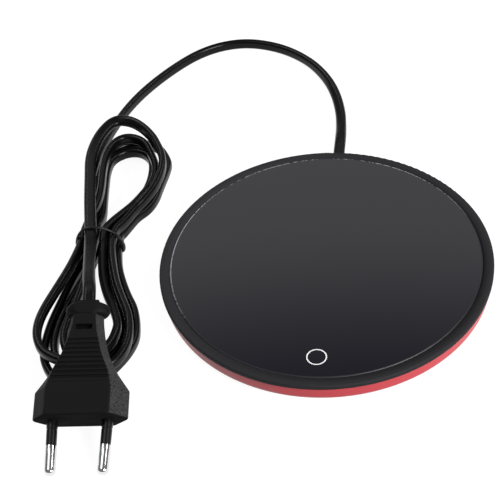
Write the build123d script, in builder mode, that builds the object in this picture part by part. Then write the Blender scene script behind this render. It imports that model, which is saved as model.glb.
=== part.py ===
from build123d import *
import math
import os
import numpy as np

os.makedirs("parts", exist_ok=True)

# Food warming mat: a round dark glass plate in a black rim on a red dish, with one
# touch key and a flat twin cord that is wound in a tied hank and ends in a plug.
# Millimetres. Z is up, the middle of the foot plane is the origin, the touch key
# is toward -Y and the cord leaves at +Y.

# The round housing
mat_diameter = 126.0
rim_width = 3.8
glass_thickness = 2.0
glass_edge_break = 0.3
glass_side_gap = 0.2
rim_height = 1.6
rim_overhang = 0.8
rim_edge_round = 0.6
mat_height = 10.0
foot_stand = 1.6
floor_thickness = 1.6
wall_thickness = 1.8
dish_bottom_round = 2.5
gasket_thickness = 0.3
gasket_inset = 0.6
ledge_width = 6.4
ledge_thickness = 1.2
skirt_thickness = 1.2
skirt_depth = 2.5
fit_gap = 0.3

# Screws, bosses and feet
screw_count = 4
boss_gap = 0.9
screw_shank = 2.2
screw_head = 4.4
screw_head_depth = 1.2
screw_hole_gap = 0.1
screw_head_sink = 0.1
screw_tip_room = 0.5
boss_diameter = 6.0
foot_count = 4
foot_inset = 15.2
foot_diameter = 10.0
foot_recess = 0.4
foot_round = 0.4

# Touch key
key_inset = 9.5
key_ring_diameter = 7.3
key_ring_line = 0.45
key_ring_depth = 0.1
key_window = 12.5
key_post_diameter = 7.0
key_post_bore = 3.0

# Heater stack under the glass
plate_edge_gap = 3.8
stack_gap = 4.0
plate_thickness = 1.0
film_inset = 1.5
film_thickness = 0.3
pad_inset = 0.5
pad_wire_gap = 0.35
pad_window_width = 9.0
pad_window_length = 26.0
sensor_offset = 14.0
post_count = 6
post_inset = 15.0
post_diameter = 5.0
cutoff_diameter = 2.2
cutoff_length = 8.0
cutoff_offset = 6.0
thermistor_diameter = 1.6
thermistor_length = 3.0
thermistor_offset = -6.0
tail_width = 3.0
tail_spacing = 36.0
tail_reach = 8.5

# Circuit board in front of the heater
board_gap = 0.6
board_thickness = 1.0
board_edge_gap = 2.9
board_depth = 18.0
board_side_gap = 1.5
stake_inset = (4.5, 4.0)
stake_collar = 4.0
stake_pin = 1.8
stake_gap = 0.1
stake_rise = 0.5
headroom = 0.6
terminal_size = (9.0, 4.5)
terminal_inset = 3.7
chip_size = (5.0, 4.0, 1.5)
chip_place = (-12.0, 4.5)
triac_size = (6.6, 6.2)
triac_drop = 0.3
triac_place = (12.0, 4.5)
capacitor_size = (7.5, 3.6)
capacitor_place = (-19.5, 5.5)
fuse_length = 7.5
fuse_place = (19.5, 5.9)
led_size = (1.6, 0.8, 0.6)

# Cord entry, a little to the right of the middle of the rear wall
cord_exit_offset = 1.9
relief_floor_gap = 0.25
relief_outside = 3.5
relief_root_wall = (2.3, 1.3)
relief_tip_wall = 0.7
relief_neck = (6.8, 3.0)
relief_flange = (10.4, 2.9)
relief_flange_thickness = 1.6
relief_gap = 0.15
flange_gap = 0.65
relief_corner = 0.9
relief_outer_corner = 2.0
wire_diameter = 1.5
wire_spacing = 2.6
wire_run_gap = 0.15

# Flat twin cord
cord_width = 4.8
cord_thickness = 3.0
cord_gap = 0.45

# Tied hank, standing with its axis turned a little from +Y
hank_place = (-89.76, 10.72)
hank_turn = 8.5
waist_gap = 0.57
waist_half = 5.0
tie_wire = 1.0
tie_slack = 0.1

# One row for each turn of the hank. The slot counts waist steps from the middle and
# the layer counts from the floor; left, right and reach are millimetres, and spread,
# corner, swell, belly, shoulder and top are shares of them that give the loop its shape.
lower_turns = [
    dict(slot=1.5, layer=0, left=19.3, right=16.4, reach=75.5, spread=0.53, corner=0.66, swell=0.90),
    dict(slot=0.5, layer=0, left=12.9, right=10.2, reach=59.5, spread=0.36, corner=0.56, swell=0.52),
    dict(slot=0.5, layer=1, left=14.2, right=8.8, reach=59.0, spread=0.40, corner=0.58, swell=0.44),
    dict(slot=1.5, layer=1, left=21.5, right=17.4, reach=63.3, spread=0.44, corner=0.74, swell=0.72),
]
upper_turns = [
    dict(slots=(1.5, 0.5), layers=(0, 0), climb=0, left=0.4, right=27.2, reach=62.0,
         spread=0.40, belly=0.75, shoulder=0.75, top=0.97),
    dict(slots=(0.5, 0.5), layers=(0, 1), climb=4, left=0.2, right=20.2, reach=55.6,
         spread=0.29, belly=0.71, shoulder=0.66, top=0.96),
    dict(slots=(0.5, 1.5), layers=(1, 1), climb=0, left=3.9, right=22.4, reach=61.2,
         spread=0.285, belly=0.72, shoulder=0.80, top=0.95),
    dict(slots=(1.5, 1.6), layers=(1, 2), climb=2, left=6.0, right=26.4, reach=72.4,
         spread=0.48, belly=0.63, shoulder=0.80, top=0.84),
]
hank_entry = (-5.45, 9.0)
hank_leave = (-5.7, 42.0)

# Free cord from the strain relief to the hank: first point after the twist, then the
# bend over the floor, in millimetres from the middle of the mat.
lead_twist_end = (2.0, 92.0)
lead_points = [
    (0.6, 105.0), (-4.4, 123.0), (-15.0, 139.5), (-30.5, 151.2), (-49.0, 155.6),
    (-67.0, 148.6), (-82.5, 130.0), (-94.5, 108.5), (-101.2, 84.0),
]
# The same cord beside the hank, and the strand from the hank to the plug, both in the
# hank's own directions: across, along.
lead_beside = (-6.3, 48.0)
lead_join = 19.0
strand_twist = 18.0
strand_bundle = (-3.9, 8.0)
strand_lift = (-2.4, -9.0)
strand_rise = (-1.3, -21.0, 5.5)
strand_hump = 15.0

# Plug with two round pins, lying on its pin tips against the hank. The rows of the
# profile are: distance from the body's face, half width, half width of the flat top,
# half thickness.
plug_tip = (-77.78, -97.0, 2.2)
plug_turn = 3.5
plug_tilt = 20.0
pin_diameter = 4.0
pin_length = 19.0
pin_metal = 10.2
pin_core = 3.0
pin_depth = 11.0
pin_base_spacing = 19.2
pin_tip_spacing = 17.9
sleeve_seat = 2.0
sleeve_gap = 0.4
sleeve_step = 0.15
sleeve_draft = 0.4
plug_profile = [
    (0.0, 17.0, 11.1, 6.85),
    (10.0, 17.0, 11.1, 6.85),
    (16.0, 12.6, 9.9, 6.5),
    (22.6, 9.2, 6.9, 5.9),
    (34.7, 6.4, 4.1, 4.7),
    (39.6, 6.0, 3.6, 4.4),
]
bridge_size = (27.0, 7.6, 7.0)
collar_length = 4.0
collar_lip = (1.8, 1.1)
collar_round = 1.3
outlet_wall = (1.9, 1.7)
outlet_length = 0.8
outlet_corner = 2.2
grip_count = 9
grip_inset = 13.8
grip_pitch = 1.74
grip_width = 0.8
grip_depth = 0.4
slot_size = (5.4, 1.6, 1.2)
slot_inset = 32.7

# Levels and places worked out from the sizes above
mat_radius = mat_diameter / 2
dish_radius = mat_radius - rim_overhang
dish_top = mat_height - rim_height
floor_top = foot_stand + floor_thickness
glass_bottom = mat_height - glass_thickness
pocket_radius = mat_radius - rim_width
glass_radius = pocket_radius - glass_side_gap
ledge_top = glass_bottom - gasket_thickness
ledge_bottom = ledge_top - ledge_thickness
ledge_inner = pocket_radius - ledge_width
skirt_outer = dish_radius - wall_thickness - fit_gap
skirt_inner = skirt_outer - skirt_thickness
skirt_bottom = dish_top - skirt_depth
wire_level = floor_top + wire_run_gap + wire_diameter / 2
plate_bottom = glass_bottom - plate_thickness
film_bottom = plate_bottom - film_thickness
pad_bottom = wire_level + wire_diameter / 2 + pad_wire_gap
board_bottom = floor_top + board_gap
board_top = board_bottom + board_thickness
part_height = glass_bottom - board_top - headroom
plate_radius = ledge_inner - plate_edge_gap
board_radius = skirt_inner - board_edge_gap
board_back = board_radius - board_depth
plate_chord = board_back - stack_gap
screw_radius = skirt_inner - boss_diameter / 2 - boss_gap
foot_radius = dish_radius - foot_inset
post_radius = plate_radius - post_inset
key_offset = glass_radius - key_inset
board_half = screw_radius * math.cos(math.pi / 4) - boss_diameter / 2 - board_side_gap
stake_x = board_half - stake_inset[0]
stake_y = board_back + stake_inset[1]
cord_exit_height = floor_top + relief_floor_gap + relief_flange[1] / 2
waist_step = cord_thickness + waist_gap
collar_start = pin_length + plug_profile[-1][0]
collar_end = collar_start + collar_length
plug_length = collar_end + outlet_length

# Dish: floor, wall, screw holes, foot recesses, board stakes and pad posts
with BuildPart() as base_shell:
    with BuildSketch(Plane.XY.offset(foot_stand)):
        Circle(dish_radius)
    extrude(amount=dish_top - foot_stand)
    fillet(base_shell.edges().group_by(Axis.Z)[0], dish_bottom_round)
    with BuildSketch(Plane.XY.offset(floor_top)):
        Circle(dish_radius - wall_thickness)
    extrude(amount=mat_height, mode=Mode.SUBTRACT)
    with BuildSketch(Plane.XY.offset(floor_top)):
        with PolarLocations(post_radius, post_count):
            Circle(post_diameter / 2)
    extrude(amount=pad_bottom - floor_top)
    with BuildSketch(Plane.XY.offset(floor_top)):
        with Locations((-stake_x, -stake_y), (stake_x, -stake_y)):
            Circle(stake_collar / 2)
    extrude(amount=board_gap)
    with BuildSketch(Plane.XY.offset(board_bottom)):
        with Locations((-stake_x, -stake_y), (stake_x, -stake_y)):
            Circle(stake_pin / 2)
    extrude(amount=board_thickness + stake_rise)
    with BuildSketch(Plane.XY.offset(foot_stand)):
        with PolarLocations(foot_radius, foot_count):
            Circle(foot_diameter / 2)
    extrude(amount=foot_recess, mode=Mode.SUBTRACT)
    with BuildSketch(Plane.XY.offset(foot_stand)):
        with PolarLocations(screw_radius, screw_count, 45):
            Circle(screw_shank / 2 + screw_hole_gap)
    extrude(amount=floor_thickness, mode=Mode.SUBTRACT)
    with BuildSketch(Plane.XY.offset(foot_stand)):
        with PolarLocations(screw_radius, screw_count, 45):
            Circle(screw_head / 2 + screw_hole_gap)
    extrude(amount=screw_head_sink, mode=Mode.SUBTRACT)
    with BuildSketch(Plane.XY.offset(foot_stand + screw_head_sink)) as head_seat_low:
        with PolarLocations(screw_radius, screw_count, 45):
            Circle(screw_head / 2 + screw_hole_gap)
    seat_taper = math.degrees(math.atan((screw_head - screw_shank) / 2 / screw_head_depth))
    extrude(amount=screw_head_depth, taper=seat_taper, mode=Mode.SUBTRACT)
    with BuildSketch(Plane.XZ.offset(-dish_radius - 1)):
        with Locations((cord_exit_offset, cord_exit_height)):
            RectangleRounded(relief_neck[0] + 2 * relief_gap, relief_neck[1] + 2 * relief_gap, relief_corner)
    extrude(amount=wall_thickness + 3, mode=Mode.SUBTRACT)
base_shell.part.label = "base_shell"

# Rim: top ring, ledge under the glass, skirt inside the dish wall, screw bosses
with BuildPart() as top_bezel:
    with BuildSketch(Plane.XY.offset(dish_top)):
        Circle(mat_radius)
        Circle(pocket_radius, mode=Mode.SUBTRACT)
    extrude(amount=rim_height)
    fillet(top_bezel.edges().group_by(Axis.Z)[-1].sort_by(SortBy.LENGTH)[-1], rim_edge_round)
    with BuildSketch(Plane.XY.offset(skirt_bottom)):
        Circle(skirt_outer)
        Circle(skirt_inner, mode=Mode.SUBTRACT)
    extrude(amount=mat_height - rim_edge_round - skirt_bottom)
    with BuildSketch(Plane.XY.offset(ledge_bottom)):
        Circle(skirt_outer)
        Circle(ledge_inner, mode=Mode.SUBTRACT)
    extrude(amount=ledge_thickness)
    with BuildSketch(Plane.XY.offset(ledge_top)):
        Circle(pocket_radius)
    extrude(amount=mat_height, mode=Mode.SUBTRACT)
    with BuildSketch(Plane.XY.offset(floor_top)):
        with PolarLocations(screw_radius, screw_count, 45):
            Circle(boss_diameter / 2)
    extrude(amount=ledge_bottom - floor_top)
    with BuildSketch(Plane.XY.offset(floor_top)):
        with PolarLocations(screw_radius, screw_count, 45):
            Circle(screw_shank / 2 + screw_hole_gap)
    extrude(amount=ledge_top - screw_tip_room - floor_top, mode=Mode.SUBTRACT)
    with BuildSketch(Plane.XY.offset(ledge_bottom)):
        with Locations((0, -key_offset)):
            Circle(key_window / 2)
    extrude(amount=ledge_thickness, mode=Mode.SUBTRACT)
    notch_top = cord_exit_height + relief_neck[1] / 2 + relief_gap
    with BuildSketch(Plane.XY.offset(skirt_bottom)):
        with Locations((cord_exit_offset, skirt_outer)):
            Rectangle(relief_neck[0] + 2 * relief_gap, 4 * skirt_thickness)
    extrude(amount=notch_top - skirt_bottom, mode=Mode.SUBTRACT)
top_bezel.part.label = "top_bezel"

# Dark glass plate with a shallow ring groove for the printed key
with BuildPart() as glass_panel:
    with BuildSketch(Plane.XY.offset(glass_bottom)):
        Circle(glass_radius)
    extrude(amount=glass_thickness)
    chamfer(glass_panel.edges().group_by(Axis.Z)[-1], glass_edge_break)
    with BuildSketch(Plane.XY.offset(mat_height - key_ring_depth)):
        with Locations((0, -key_offset)):
            Circle(key_ring_diameter / 2)
            Circle(key_ring_diameter / 2 - key_ring_line, mode=Mode.SUBTRACT)
    extrude(amount=key_ring_depth, mode=Mode.SUBTRACT)
glass_panel.part.label = "glass_panel"

# White ring of the touch key, flush in its groove
with BuildPart() as touch_ring:
    with BuildSketch(Plane.XY.offset(mat_height - key_ring_depth)):
        with Locations((0, -key_offset)):
            Circle(key_ring_diameter / 2)
            Circle(key_ring_diameter / 2 - key_ring_line, mode=Mode.SUBTRACT)
    extrude(amount=key_ring_depth)
touch_ring.part.label = "touch_ring"

# Silicone gasket that bonds the glass to the ledge
with BuildPart() as bezel_gasket:
    with BuildSketch(Plane.XY.offset(ledge_top)):
        Circle(glass_radius - gasket_inset)
        Circle(ledge_inner + gasket_inset, mode=Mode.SUBTRACT)
        with Locations((0, -key_offset)):
            Circle(key_window / 2, mode=Mode.SUBTRACT)
    extrude(amount=gasket_thickness)
bezel_gasket.part.label = "bezel_gasket"

# Aluminium plate under the glass, cut straight in front of the circuit board
with BuildPart() as heat_spreader:
    with BuildSketch(Plane.XY.offset(plate_bottom)):
        Circle(plate_radius)
        with Locations((0, -plate_chord - plate_radius)):
            Rectangle(2 * plate_radius, 2 * plate_radius, mode=Mode.SUBTRACT)
    extrude(amount=plate_thickness)
heat_spreader.part.label = "heat_spreader"

# Heating film bonded under the plate
film_radius = plate_radius - film_inset
film_chord = plate_chord - film_inset
with BuildPart() as heater_film:
    with BuildSketch(Plane.XY.offset(film_bottom)):
        Circle(film_radius)
        with Locations((0, -film_chord - film_radius)):
            Rectangle(2 * film_radius, 2 * film_radius, mode=Mode.SUBTRACT)
    extrude(amount=film_thickness)
heater_film.part.label = "heater_film"

# Insulation under the film, with a window for the two sensors
pad_radius = plate_radius - pad_inset
pad_chord = plate_chord - pad_inset
with BuildPart() as insulation_pad:
    with BuildSketch(Plane.XY.offset(pad_bottom)):
        Circle(pad_radius)
        with Locations((0, -pad_chord - pad_radius)):
            Rectangle(2 * pad_radius, 2 * pad_radius, mode=Mode.SUBTRACT)
        with Locations((sensor_offset, 0)):
            Rectangle(pad_window_width, pad_window_length, mode=Mode.SUBTRACT)
    extrude(amount=film_bottom - pad_bottom)
insulation_pad.part.label = "insulation_pad"

# Thermal cutoff and temperature sensor, pressed on the film inside the window
cutoff_axis = film_bottom - cutoff_diameter / 2
with BuildPart() as thermal_cutoff:
    with BuildSketch(Plane.YZ.offset(sensor_offset - cutoff_length / 2)):
        with Locations((cutoff_offset, cutoff_axis)):
            Circle(cutoff_diameter / 2)
    extrude(amount=cutoff_length)
thermal_cutoff.part.label = "thermal_cutoff"

with BuildPart() as thermistor:
    with BuildSketch(Plane.YZ.offset(sensor_offset - thermistor_length / 2)):
        with Locations((thermistor_offset, film_bottom - thermistor_diameter / 2)):
            Circle(thermistor_diameter / 2)
    extrude(amount=thermistor_length)
thermistor.part.label = "thermistor"

# Two flat tails from the film down to the board
tail_start = film_chord
tail_end = film_chord + tail_reach
with BuildPart() as heater_tails:
    for side in (-1, 1):
        with BuildSketch(Plane.YZ.offset(side * tail_spacing / 2 - tail_width / 2)):
            with BuildLine():
                Polyline(
                    (-tail_start, film_bottom),
                    (-tail_end + film_thickness, film_bottom),
                    (-tail_end + film_thickness, board_top),
                    (-tail_end, board_top),
                    (-tail_end, plate_bottom),
                    (-tail_start, plate_bottom),
                    close=True,
                )
            make_face()
        extrude(amount=tail_width)
heater_tails.part.label = "heater_tails"

# Circuit board, a flat segment held on two stakes
with BuildPart() as control_board:
    with BuildSketch(Plane.XY.offset(board_bottom)):
        Circle(board_radius)
        with Locations((0, -board_back + board_radius)):
            Rectangle(2 * board_radius, 2 * board_radius, mode=Mode.SUBTRACT)
        with Locations((board_half + board_radius, 0), (-board_half - board_radius, 0)):
            Rectangle(2 * board_radius, 2 * board_radius, mode=Mode.SUBTRACT)
        with Locations((-stake_x, -stake_y), (stake_x, -stake_y)):
            Circle(stake_pin / 2 + stake_gap, mode=Mode.SUBTRACT)
    extrude(amount=board_thickness)
control_board.part.label = "control_board"

# Parts on the board
with BuildPart() as mains_terminal:
    with BuildSketch(Plane.XY.offset(board_top)):
        with Locations((cord_exit_offset, -board_back - terminal_inset)):
            Rectangle(terminal_size[0], terminal_size[1])
    extrude(amount=part_height)
    chamfer(mains_terminal.edges().group_by(Axis.Z)[-1], 0.3)
mains_terminal.part.label = "mains_terminal"

with BuildPart() as controller_chip:
    with BuildSketch(Plane.XY.offset(board_top)):
        with Locations((chip_place[0], -board_back - chip_place[1])):
            Rectangle(chip_size[0], chip_size[1])
    extrude(amount=chip_size[2])
controller_chip.part.label = "controller_chip"

with BuildPart() as triac:
    with BuildSketch(Plane.XY.offset(board_top)):
        with Locations((triac_place[0], -board_back - triac_place[1])):
            Rectangle(triac_size[0], triac_size[1])
    extrude(amount=part_height - triac_drop)
triac.part.label = "triac"

with BuildPart() as dropper_capacitor:
    with BuildSketch(Plane.XY.offset(board_top)):
        with Locations((capacitor_place[0], -board_back - capacitor_place[1])):
            RectangleRounded(capacitor_size[0], capacitor_size[1], 0.5)
    extrude(amount=part_height)
dropper_capacitor.part.label = "dropper_capacitor"

with BuildPart() as board_fuse:
    with BuildSketch(Plane.YZ.offset(fuse_place[0] - fuse_length / 2)):
        with Locations((-board_back - fuse_place[1], board_top + part_height / 2)):
            Circle(part_height / 2)
    extrude(amount=fuse_length)
board_fuse.part.label = "board_fuse"

with BuildPart() as status_led:
    with BuildSketch(Plane.XY.offset(board_top)):
        with Locations((0, -key_offset)):
            Rectangle(led_size[0], led_size[1])
    extrude(amount=led_size[2])
status_led.part.label = "status_led"

# Conductive foam post that carries the touch field from the board to the glass
with BuildPart() as touch_post:
    with BuildSketch(Plane.XY.offset(board_top)):
        with Locations((0, -key_offset)):
            Circle(key_post_diameter / 2)
            Circle(key_post_bore / 2, mode=Mode.SUBTRACT)
    extrude(amount=glass_bottom - board_top)
touch_post.part.label = "touch_post"

# Screws from below and glued rubber feet
with BuildPart() as case_screws:
    screw_top = ledge_top - 2 * screw_tip_room
    with BuildSketch(Plane.XY.offset(foot_stand + screw_head_sink)):
        with PolarLocations(screw_radius, screw_count, 45):
            Circle(screw_head / 2)
    extrude(amount=screw_head_depth, taper=seat_taper)
    with BuildSketch(Plane.XY.offset(foot_stand + screw_head_sink)):
        with PolarLocations(screw_radius, screw_count, 45):
            Circle(screw_shank / 2)
    extrude(amount=screw_top - foot_stand - screw_head_sink)
case_screws.part.label = "case_screws"

with BuildPart() as rubber_feet:
    with BuildSketch():
        with PolarLocations(foot_radius, foot_count):
            Circle(foot_diameter / 2)
    extrude(amount=foot_stand + foot_recess)
    fillet(rubber_feet.edges().group_by(Axis.Z)[0], foot_round)
rubber_feet.part.label = "rubber_feet"

# Strain relief: tapered boot outside, neck through the wall, flange behind it
flange_outer = skirt_inner - flange_gap
with BuildPart() as strain_relief:
    with BuildSketch(Plane.XZ.offset(-dish_radius)):
        with Locations((cord_exit_offset, cord_exit_height)):
            RectangleRounded(
                cord_width + 2 * relief_root_wall[0],
                cord_thickness + 2 * relief_root_wall[1],
                relief_outer_corner,
            )
    with BuildSketch(Plane.XZ.offset(-dish_radius - relief_outside)):
        with Locations((cord_exit_offset, cord_exit_height)):
            RectangleRounded(
                cord_width + 2 * relief_tip_wall, cord_thickness + 2 * relief_tip_wall, relief_outer_corner
            )
    loft()
    with BuildSketch(Plane.XZ.offset(-dish_radius)):
        with Locations((cord_exit_offset, cord_exit_height)):
            RectangleRounded(relief_neck[0], relief_neck[1], relief_corner)
    extrude(amount=dish_radius - flange_outer)
    with BuildSketch(Plane.XZ.offset(-flange_outer)):
        with Locations((cord_exit_offset, cord_exit_height)):
            RectangleRounded(relief_flange[0], relief_flange[1], relief_corner)
    extrude(amount=relief_flange_thickness)
strain_relief.part.label = "strain_relief"

# Two insulated wires from the strain relief, under the pad, to the board terminal
wire_start = flange_outer - relief_flange_thickness
wire_end = -board_back - terminal_inset + terminal_size[1] / 2
wire_entry = board_top + wire_diameter / 2 + 0.25
for name, side in (("live_wire", -1), ("neutral_wire", 1)):
    x = cord_exit_offset + side * wire_spacing / 2
    with BuildPart() as wire:
        with BuildLine():
            FilletPolyline(
                (x, wire_start, cord_exit_height),
                (x, wire_start - 4, cord_exit_height),
                (x, wire_start - 8, wire_level),
                (x, wire_end + 5.5, wire_level),
                (x, wire_end + 2.5, wire_entry),
                (x, wire_end, wire_entry),
                radius=wire_diameter,
            )
        with BuildSketch(Plane(origin=(x, wire_start, cord_exit_height), z_dir=(0, -1, 0))):
            Circle(wire_diameter / 2)
        sweep()
    wire.part.label = name
    export_step(wire.part, f"parts/{name}.step")


# Route of the cord. A half turn is worked out from its own sizes: its slots in the
# waist, its layer, how far it swells to each side and how far it reaches.
layer_step = cord_width + cord_gap
hank_base = tie_wire + tie_slack


def layer_height(layer):
    return hank_base + cord_width / 2 + layer * layer_step


def between(start, end, share):
    return start + (end - start) * share


def lower_half(slot, layer, left, right, reach, spread, corner, swell):
    x = slot * waist_step
    points = [
        (-x, -waist_half),
        (-between(x, left, spread), -0.28 * reach),
        (-between(x, left, 0.94), -0.55 * reach),
        (-left, -0.80 * reach),
        (-corner * left, -0.98 * reach),
        (0.32 * right, -reach),
        (right, -0.72 * reach),
        (between(x, right, swell), -0.47 * reach),
        (between(x, right, 0.6 * swell * swell), -0.25 * reach),
        (x, -waist_half),
    ]
    return [(u, v, layer_height(layer)) for u, v in points]


def upper_half(slots, layers, climb, left, right, reach, spread, belly, shoulder, top):
    x = slots[0] * waist_step
    end_x = slots[1] * waist_step
    points = [
        (x, waist_half),
        (between(x, right, spread), 0.37 * belly * reach),
        (between(x, right, 0.80), 0.70 * belly * reach),
        (right, belly * reach),
        (shoulder * right, top * reach),
        (0.3 * right, reach),
        (-left, 0.80 * reach),
        (-between(left, end_x, 0.6), 0.45 * reach),
        (-end_x, waist_half),
    ]
    layer_of = [layers[0] if k < climb else layers[1] for k in range(len(points))]
    return [(u, v, layer_height(layer)) for (u, v), layer in zip(points, layer_of)]


def with_climbs(points):
    """Between two points at different heights the climb stays on the straight run."""
    out = [points[0]]
    for a, b in zip(points, points[1:]):
        if abs(a[2] - b[2]) > 0.01:
            out.append((between(a[0], b[0], 0.22), between(a[1], b[1], 0.22), a[2]))
            out.append((between(a[0], b[0], 0.72), between(a[1], b[1], 0.72), b[2]))
        out.append(b)
    return out


def from_hank(points):
    c = math.cos(math.radians(hank_turn))
    s = math.sin(math.radians(hank_turn))
    x, y = hank_place
    return [(x + u * c - v * s, y + u * s + v * c, z) for u, v, z in points]


def corner_radii(points, share):
    """Radius at each inner point: a share of the shorter run over the tangent of half the turn."""
    radii = []
    for a, b, c in zip(points, points[1:], points[2:]):
        back = Vector(*a) - Vector(*b)
        ahead = Vector(*c) - Vector(*b)
        turn = 180 - back.get_angle(ahead)
        radii.append(share * min(back.length, ahead.length) / math.tan(math.radians(turn / 2)))
    return radii


def report(name, radii, length, part):
    with BuildSketch() as section:
        SlotOverall(cord_width, cord_thickness)
    print(f"{name}: length {length:.1f} mm, radii", [round(r, 1) for r in radii])
    print(f"{name}: volume {part.volume:.1f}, section x length {section.sketch.area * length:.1f}")


# The hank: four turns in two layers, one unbroken flat cord standing on its edge
hank_points = [(*hank_entry, layer_height(0))]
for lower, upper in zip(lower_turns, upper_turns):
    hank_points += lower_half(**lower) + upper_half(**upper)
hank_points = hank_points[:-2] + [(*hank_leave, layer_height(2))]
hank_points = from_hank(with_climbs(hank_points))
hank_radii = corner_radii(hank_points, 0.48)
with BuildPart() as cord_hank:
    with BuildLine() as hank_line:
        FilletPolyline(*hank_points, radius=hank_radii)
    first_run = Vector(*hank_points[1]) - Vector(*hank_points[0])
    with BuildSketch(Plane(origin=hank_points[0], x_dir=(0, 0, 1), z_dir=first_run)):
        SlotOverall(cord_width, cord_thickness)
    sweep(path=hank_line.wire())
cord_hank.part.label = "cord_hank"
hank_length = hank_line.wire().length
report("hank", hank_radii, hank_length, cord_hank.part)

# Least gap of the hank to itself, on points: two upright slots are apart by their
# sideways distance and by the height that the straight sides of the slots leave.
samples = []
for edge in hank_line.wire().order_edges():
    count = max(2, round(edge.length))
    samples += [tuple(edge.position_at((k + 0.5) / count)) for k in range(count)]
samples = np.array(samples)
least_gap = 1e9
for k in range(0, len(samples) - 14, 2):
    apart = samples[k + 14:] - samples[k]
    rise = np.maximum(0, abs(apart[:, 2]) - (cord_width - cord_thickness))
    away = np.sqrt(apart[:, 0] ** 2 + apart[:, 1] ** 2 + rise ** 2)
    least_gap = min(least_gap, away.min() - cord_thickness)
print(f"hank: least gap to itself {least_gap:.2f} mm")

# The free cord: it leaves the strain relief flat, turns onto its edge, lies in a wide
# bend on the floor and rises by the tie's thickness to the hank
relief_end = dish_radius + relief_outside
floor_level = cord_width / 2
lead_first = (*lead_twist_end, floor_level)
with BuildPart() as cord_lead:
    ahead = Vector(lead_twist_end[0] - cord_exit_offset, lead_twist_end[1] - relief_end, 0)
    twist_length = ahead.length
    for k in range(7):
        t = k / 6
        ease = t * t * (3 - 2 * t)
        angle = math.radians(90 * (1 - ease))
        centre = (
            between(cord_exit_offset, lead_twist_end[0], ease),
            between(relief_end, lead_twist_end[1], t),
            between(cord_exit_height, floor_level, ease),
        )
        with BuildSketch(Plane(origin=centre, x_dir=(math.sin(angle), 0, math.cos(angle)), z_dir=(0, 1, 0))):
            SlotOverall(cord_width, cord_thickness)
    loft()
    lead_route = [lead_first, (lead_twist_end[0], lead_twist_end[1] + 5.0, floor_level)]
    lead_route += [(*point, floor_level) for point in lead_points]
    beside = from_hank([(*lead_beside, layer_height(0))])
    entry_run = (Vector(*hank_points[1]) - Vector(*hank_points[0])).normalized()
    join_point = tuple(Vector(*hank_points[0]) - entry_run * lead_join)
    lead_route = with_climbs(lead_route + beside + [join_point, hank_points[0]])
    lead_radii = corner_radii(lead_route, 0.45)
    with BuildLine() as lead_line:
        FilletPolyline(*lead_route, radius=lead_radii)
    with BuildSketch(Plane(origin=lead_first, x_dir=(0, 0, 1), z_dir=(0, 1, 0))):
        SlotOverall(cord_width, cord_thickness)
    sweep(path=lead_line.wire())
cord_lead.part.label = "cord_lead"
report("lead", lead_radii, twist_length + lead_line.wire().length, cord_lead.part)

# Directions of the plug: along runs from the pin tips to the cord, up is its top side
turn = math.radians(90 + plug_turn)
tilt = math.radians(plug_tilt)
plug_along = Vector(math.cos(tilt) * math.cos(turn), math.cos(tilt) * math.sin(turn), math.sin(tilt))
plug_side = plug_along.cross(Vector(0, 0, 1)).normalized()
plug_up = plug_side.cross(plug_along)


def plug_plane(distance, across=0.0, above=0.0):
    """Plane square to the plug at a distance from the pin tips; its x is across, its y is up."""
    origin = Vector(*plug_tip) + plug_along * distance + plug_side * across + plug_up * above
    return Plane(origin=origin, x_dir=plug_side * -1, z_dir=plug_along)


# The strand that comes off the hank, turns flat, passes under the tie on top of the
# bundle and rises to the plug
flat_level = hank_base + 2 * layer_step + cord_thickness / 2
strand_start = hank_points[-1]
leave_run = (Vector(*hank_points[-1]) - Vector(*hank_points[-2])).normalized()
strand_turned = Vector(*strand_start) + leave_run * strand_twist
strand_turned = (strand_turned.X, strand_turned.Y, flat_level)
strand_end = plug_plane(plug_length).origin
strand_hold = plug_plane(plug_length + strand_hump).origin
with BuildPart() as plug_lead:
    for k in range(7):
        t = k / 6
        ease = t * t * (3 - 2 * t)
        angle = math.radians(90 * ease)
        half = cord_thickness / 2 + (cord_width - cord_thickness) / 2 * math.cos(angle)
        centre = Vector(
            between(strand_start[0], strand_turned[0], t),
            between(strand_start[1], strand_turned[1], t),
            hank_base + 2 * layer_step + half,
        )
        side = leave_run.cross(Vector(0, 0, 1))
        slant = side * math.sin(angle) + Vector(0, 0, math.cos(angle))
        with BuildSketch(Plane(origin=centre, x_dir=slant, z_dir=leave_run)):
            SlotOverall(cord_width, cord_thickness)
    loft()
    twist_run = (Vector(*strand_turned) - Vector(*strand_start)).length
    bundle_point, lift_point = from_hank([(*strand_bundle, flat_level), (*strand_lift, flat_level)])
    rise_point = from_hank([(strand_rise[0], strand_rise[1], flat_level + strand_rise[2])])[0]
    strand_route = [strand_turned, bundle_point, lift_point, rise_point, tuple(strand_hold), tuple(strand_end)]
    strand_radii = corner_radii(strand_route, 0.45)
    with BuildLine() as strand_line:
        FilletPolyline(*strand_route, radius=strand_radii)
    strand_ahead = (Vector(*bundle_point) - Vector(*strand_turned)).normalized()
    strand_side = strand_ahead.cross(Vector(0, 0, 1))
    with BuildSketch(Plane(origin=strand_turned, x_dir=strand_side, z_dir=strand_ahead)):
        SlotOverall(cord_width, cord_thickness)
    sweep(path=strand_line.wire())
plug_lead.part.label = "plug_lead"
report("plug lead", strand_radii, twist_run + strand_line.wire().length, plug_lead.part)

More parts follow.
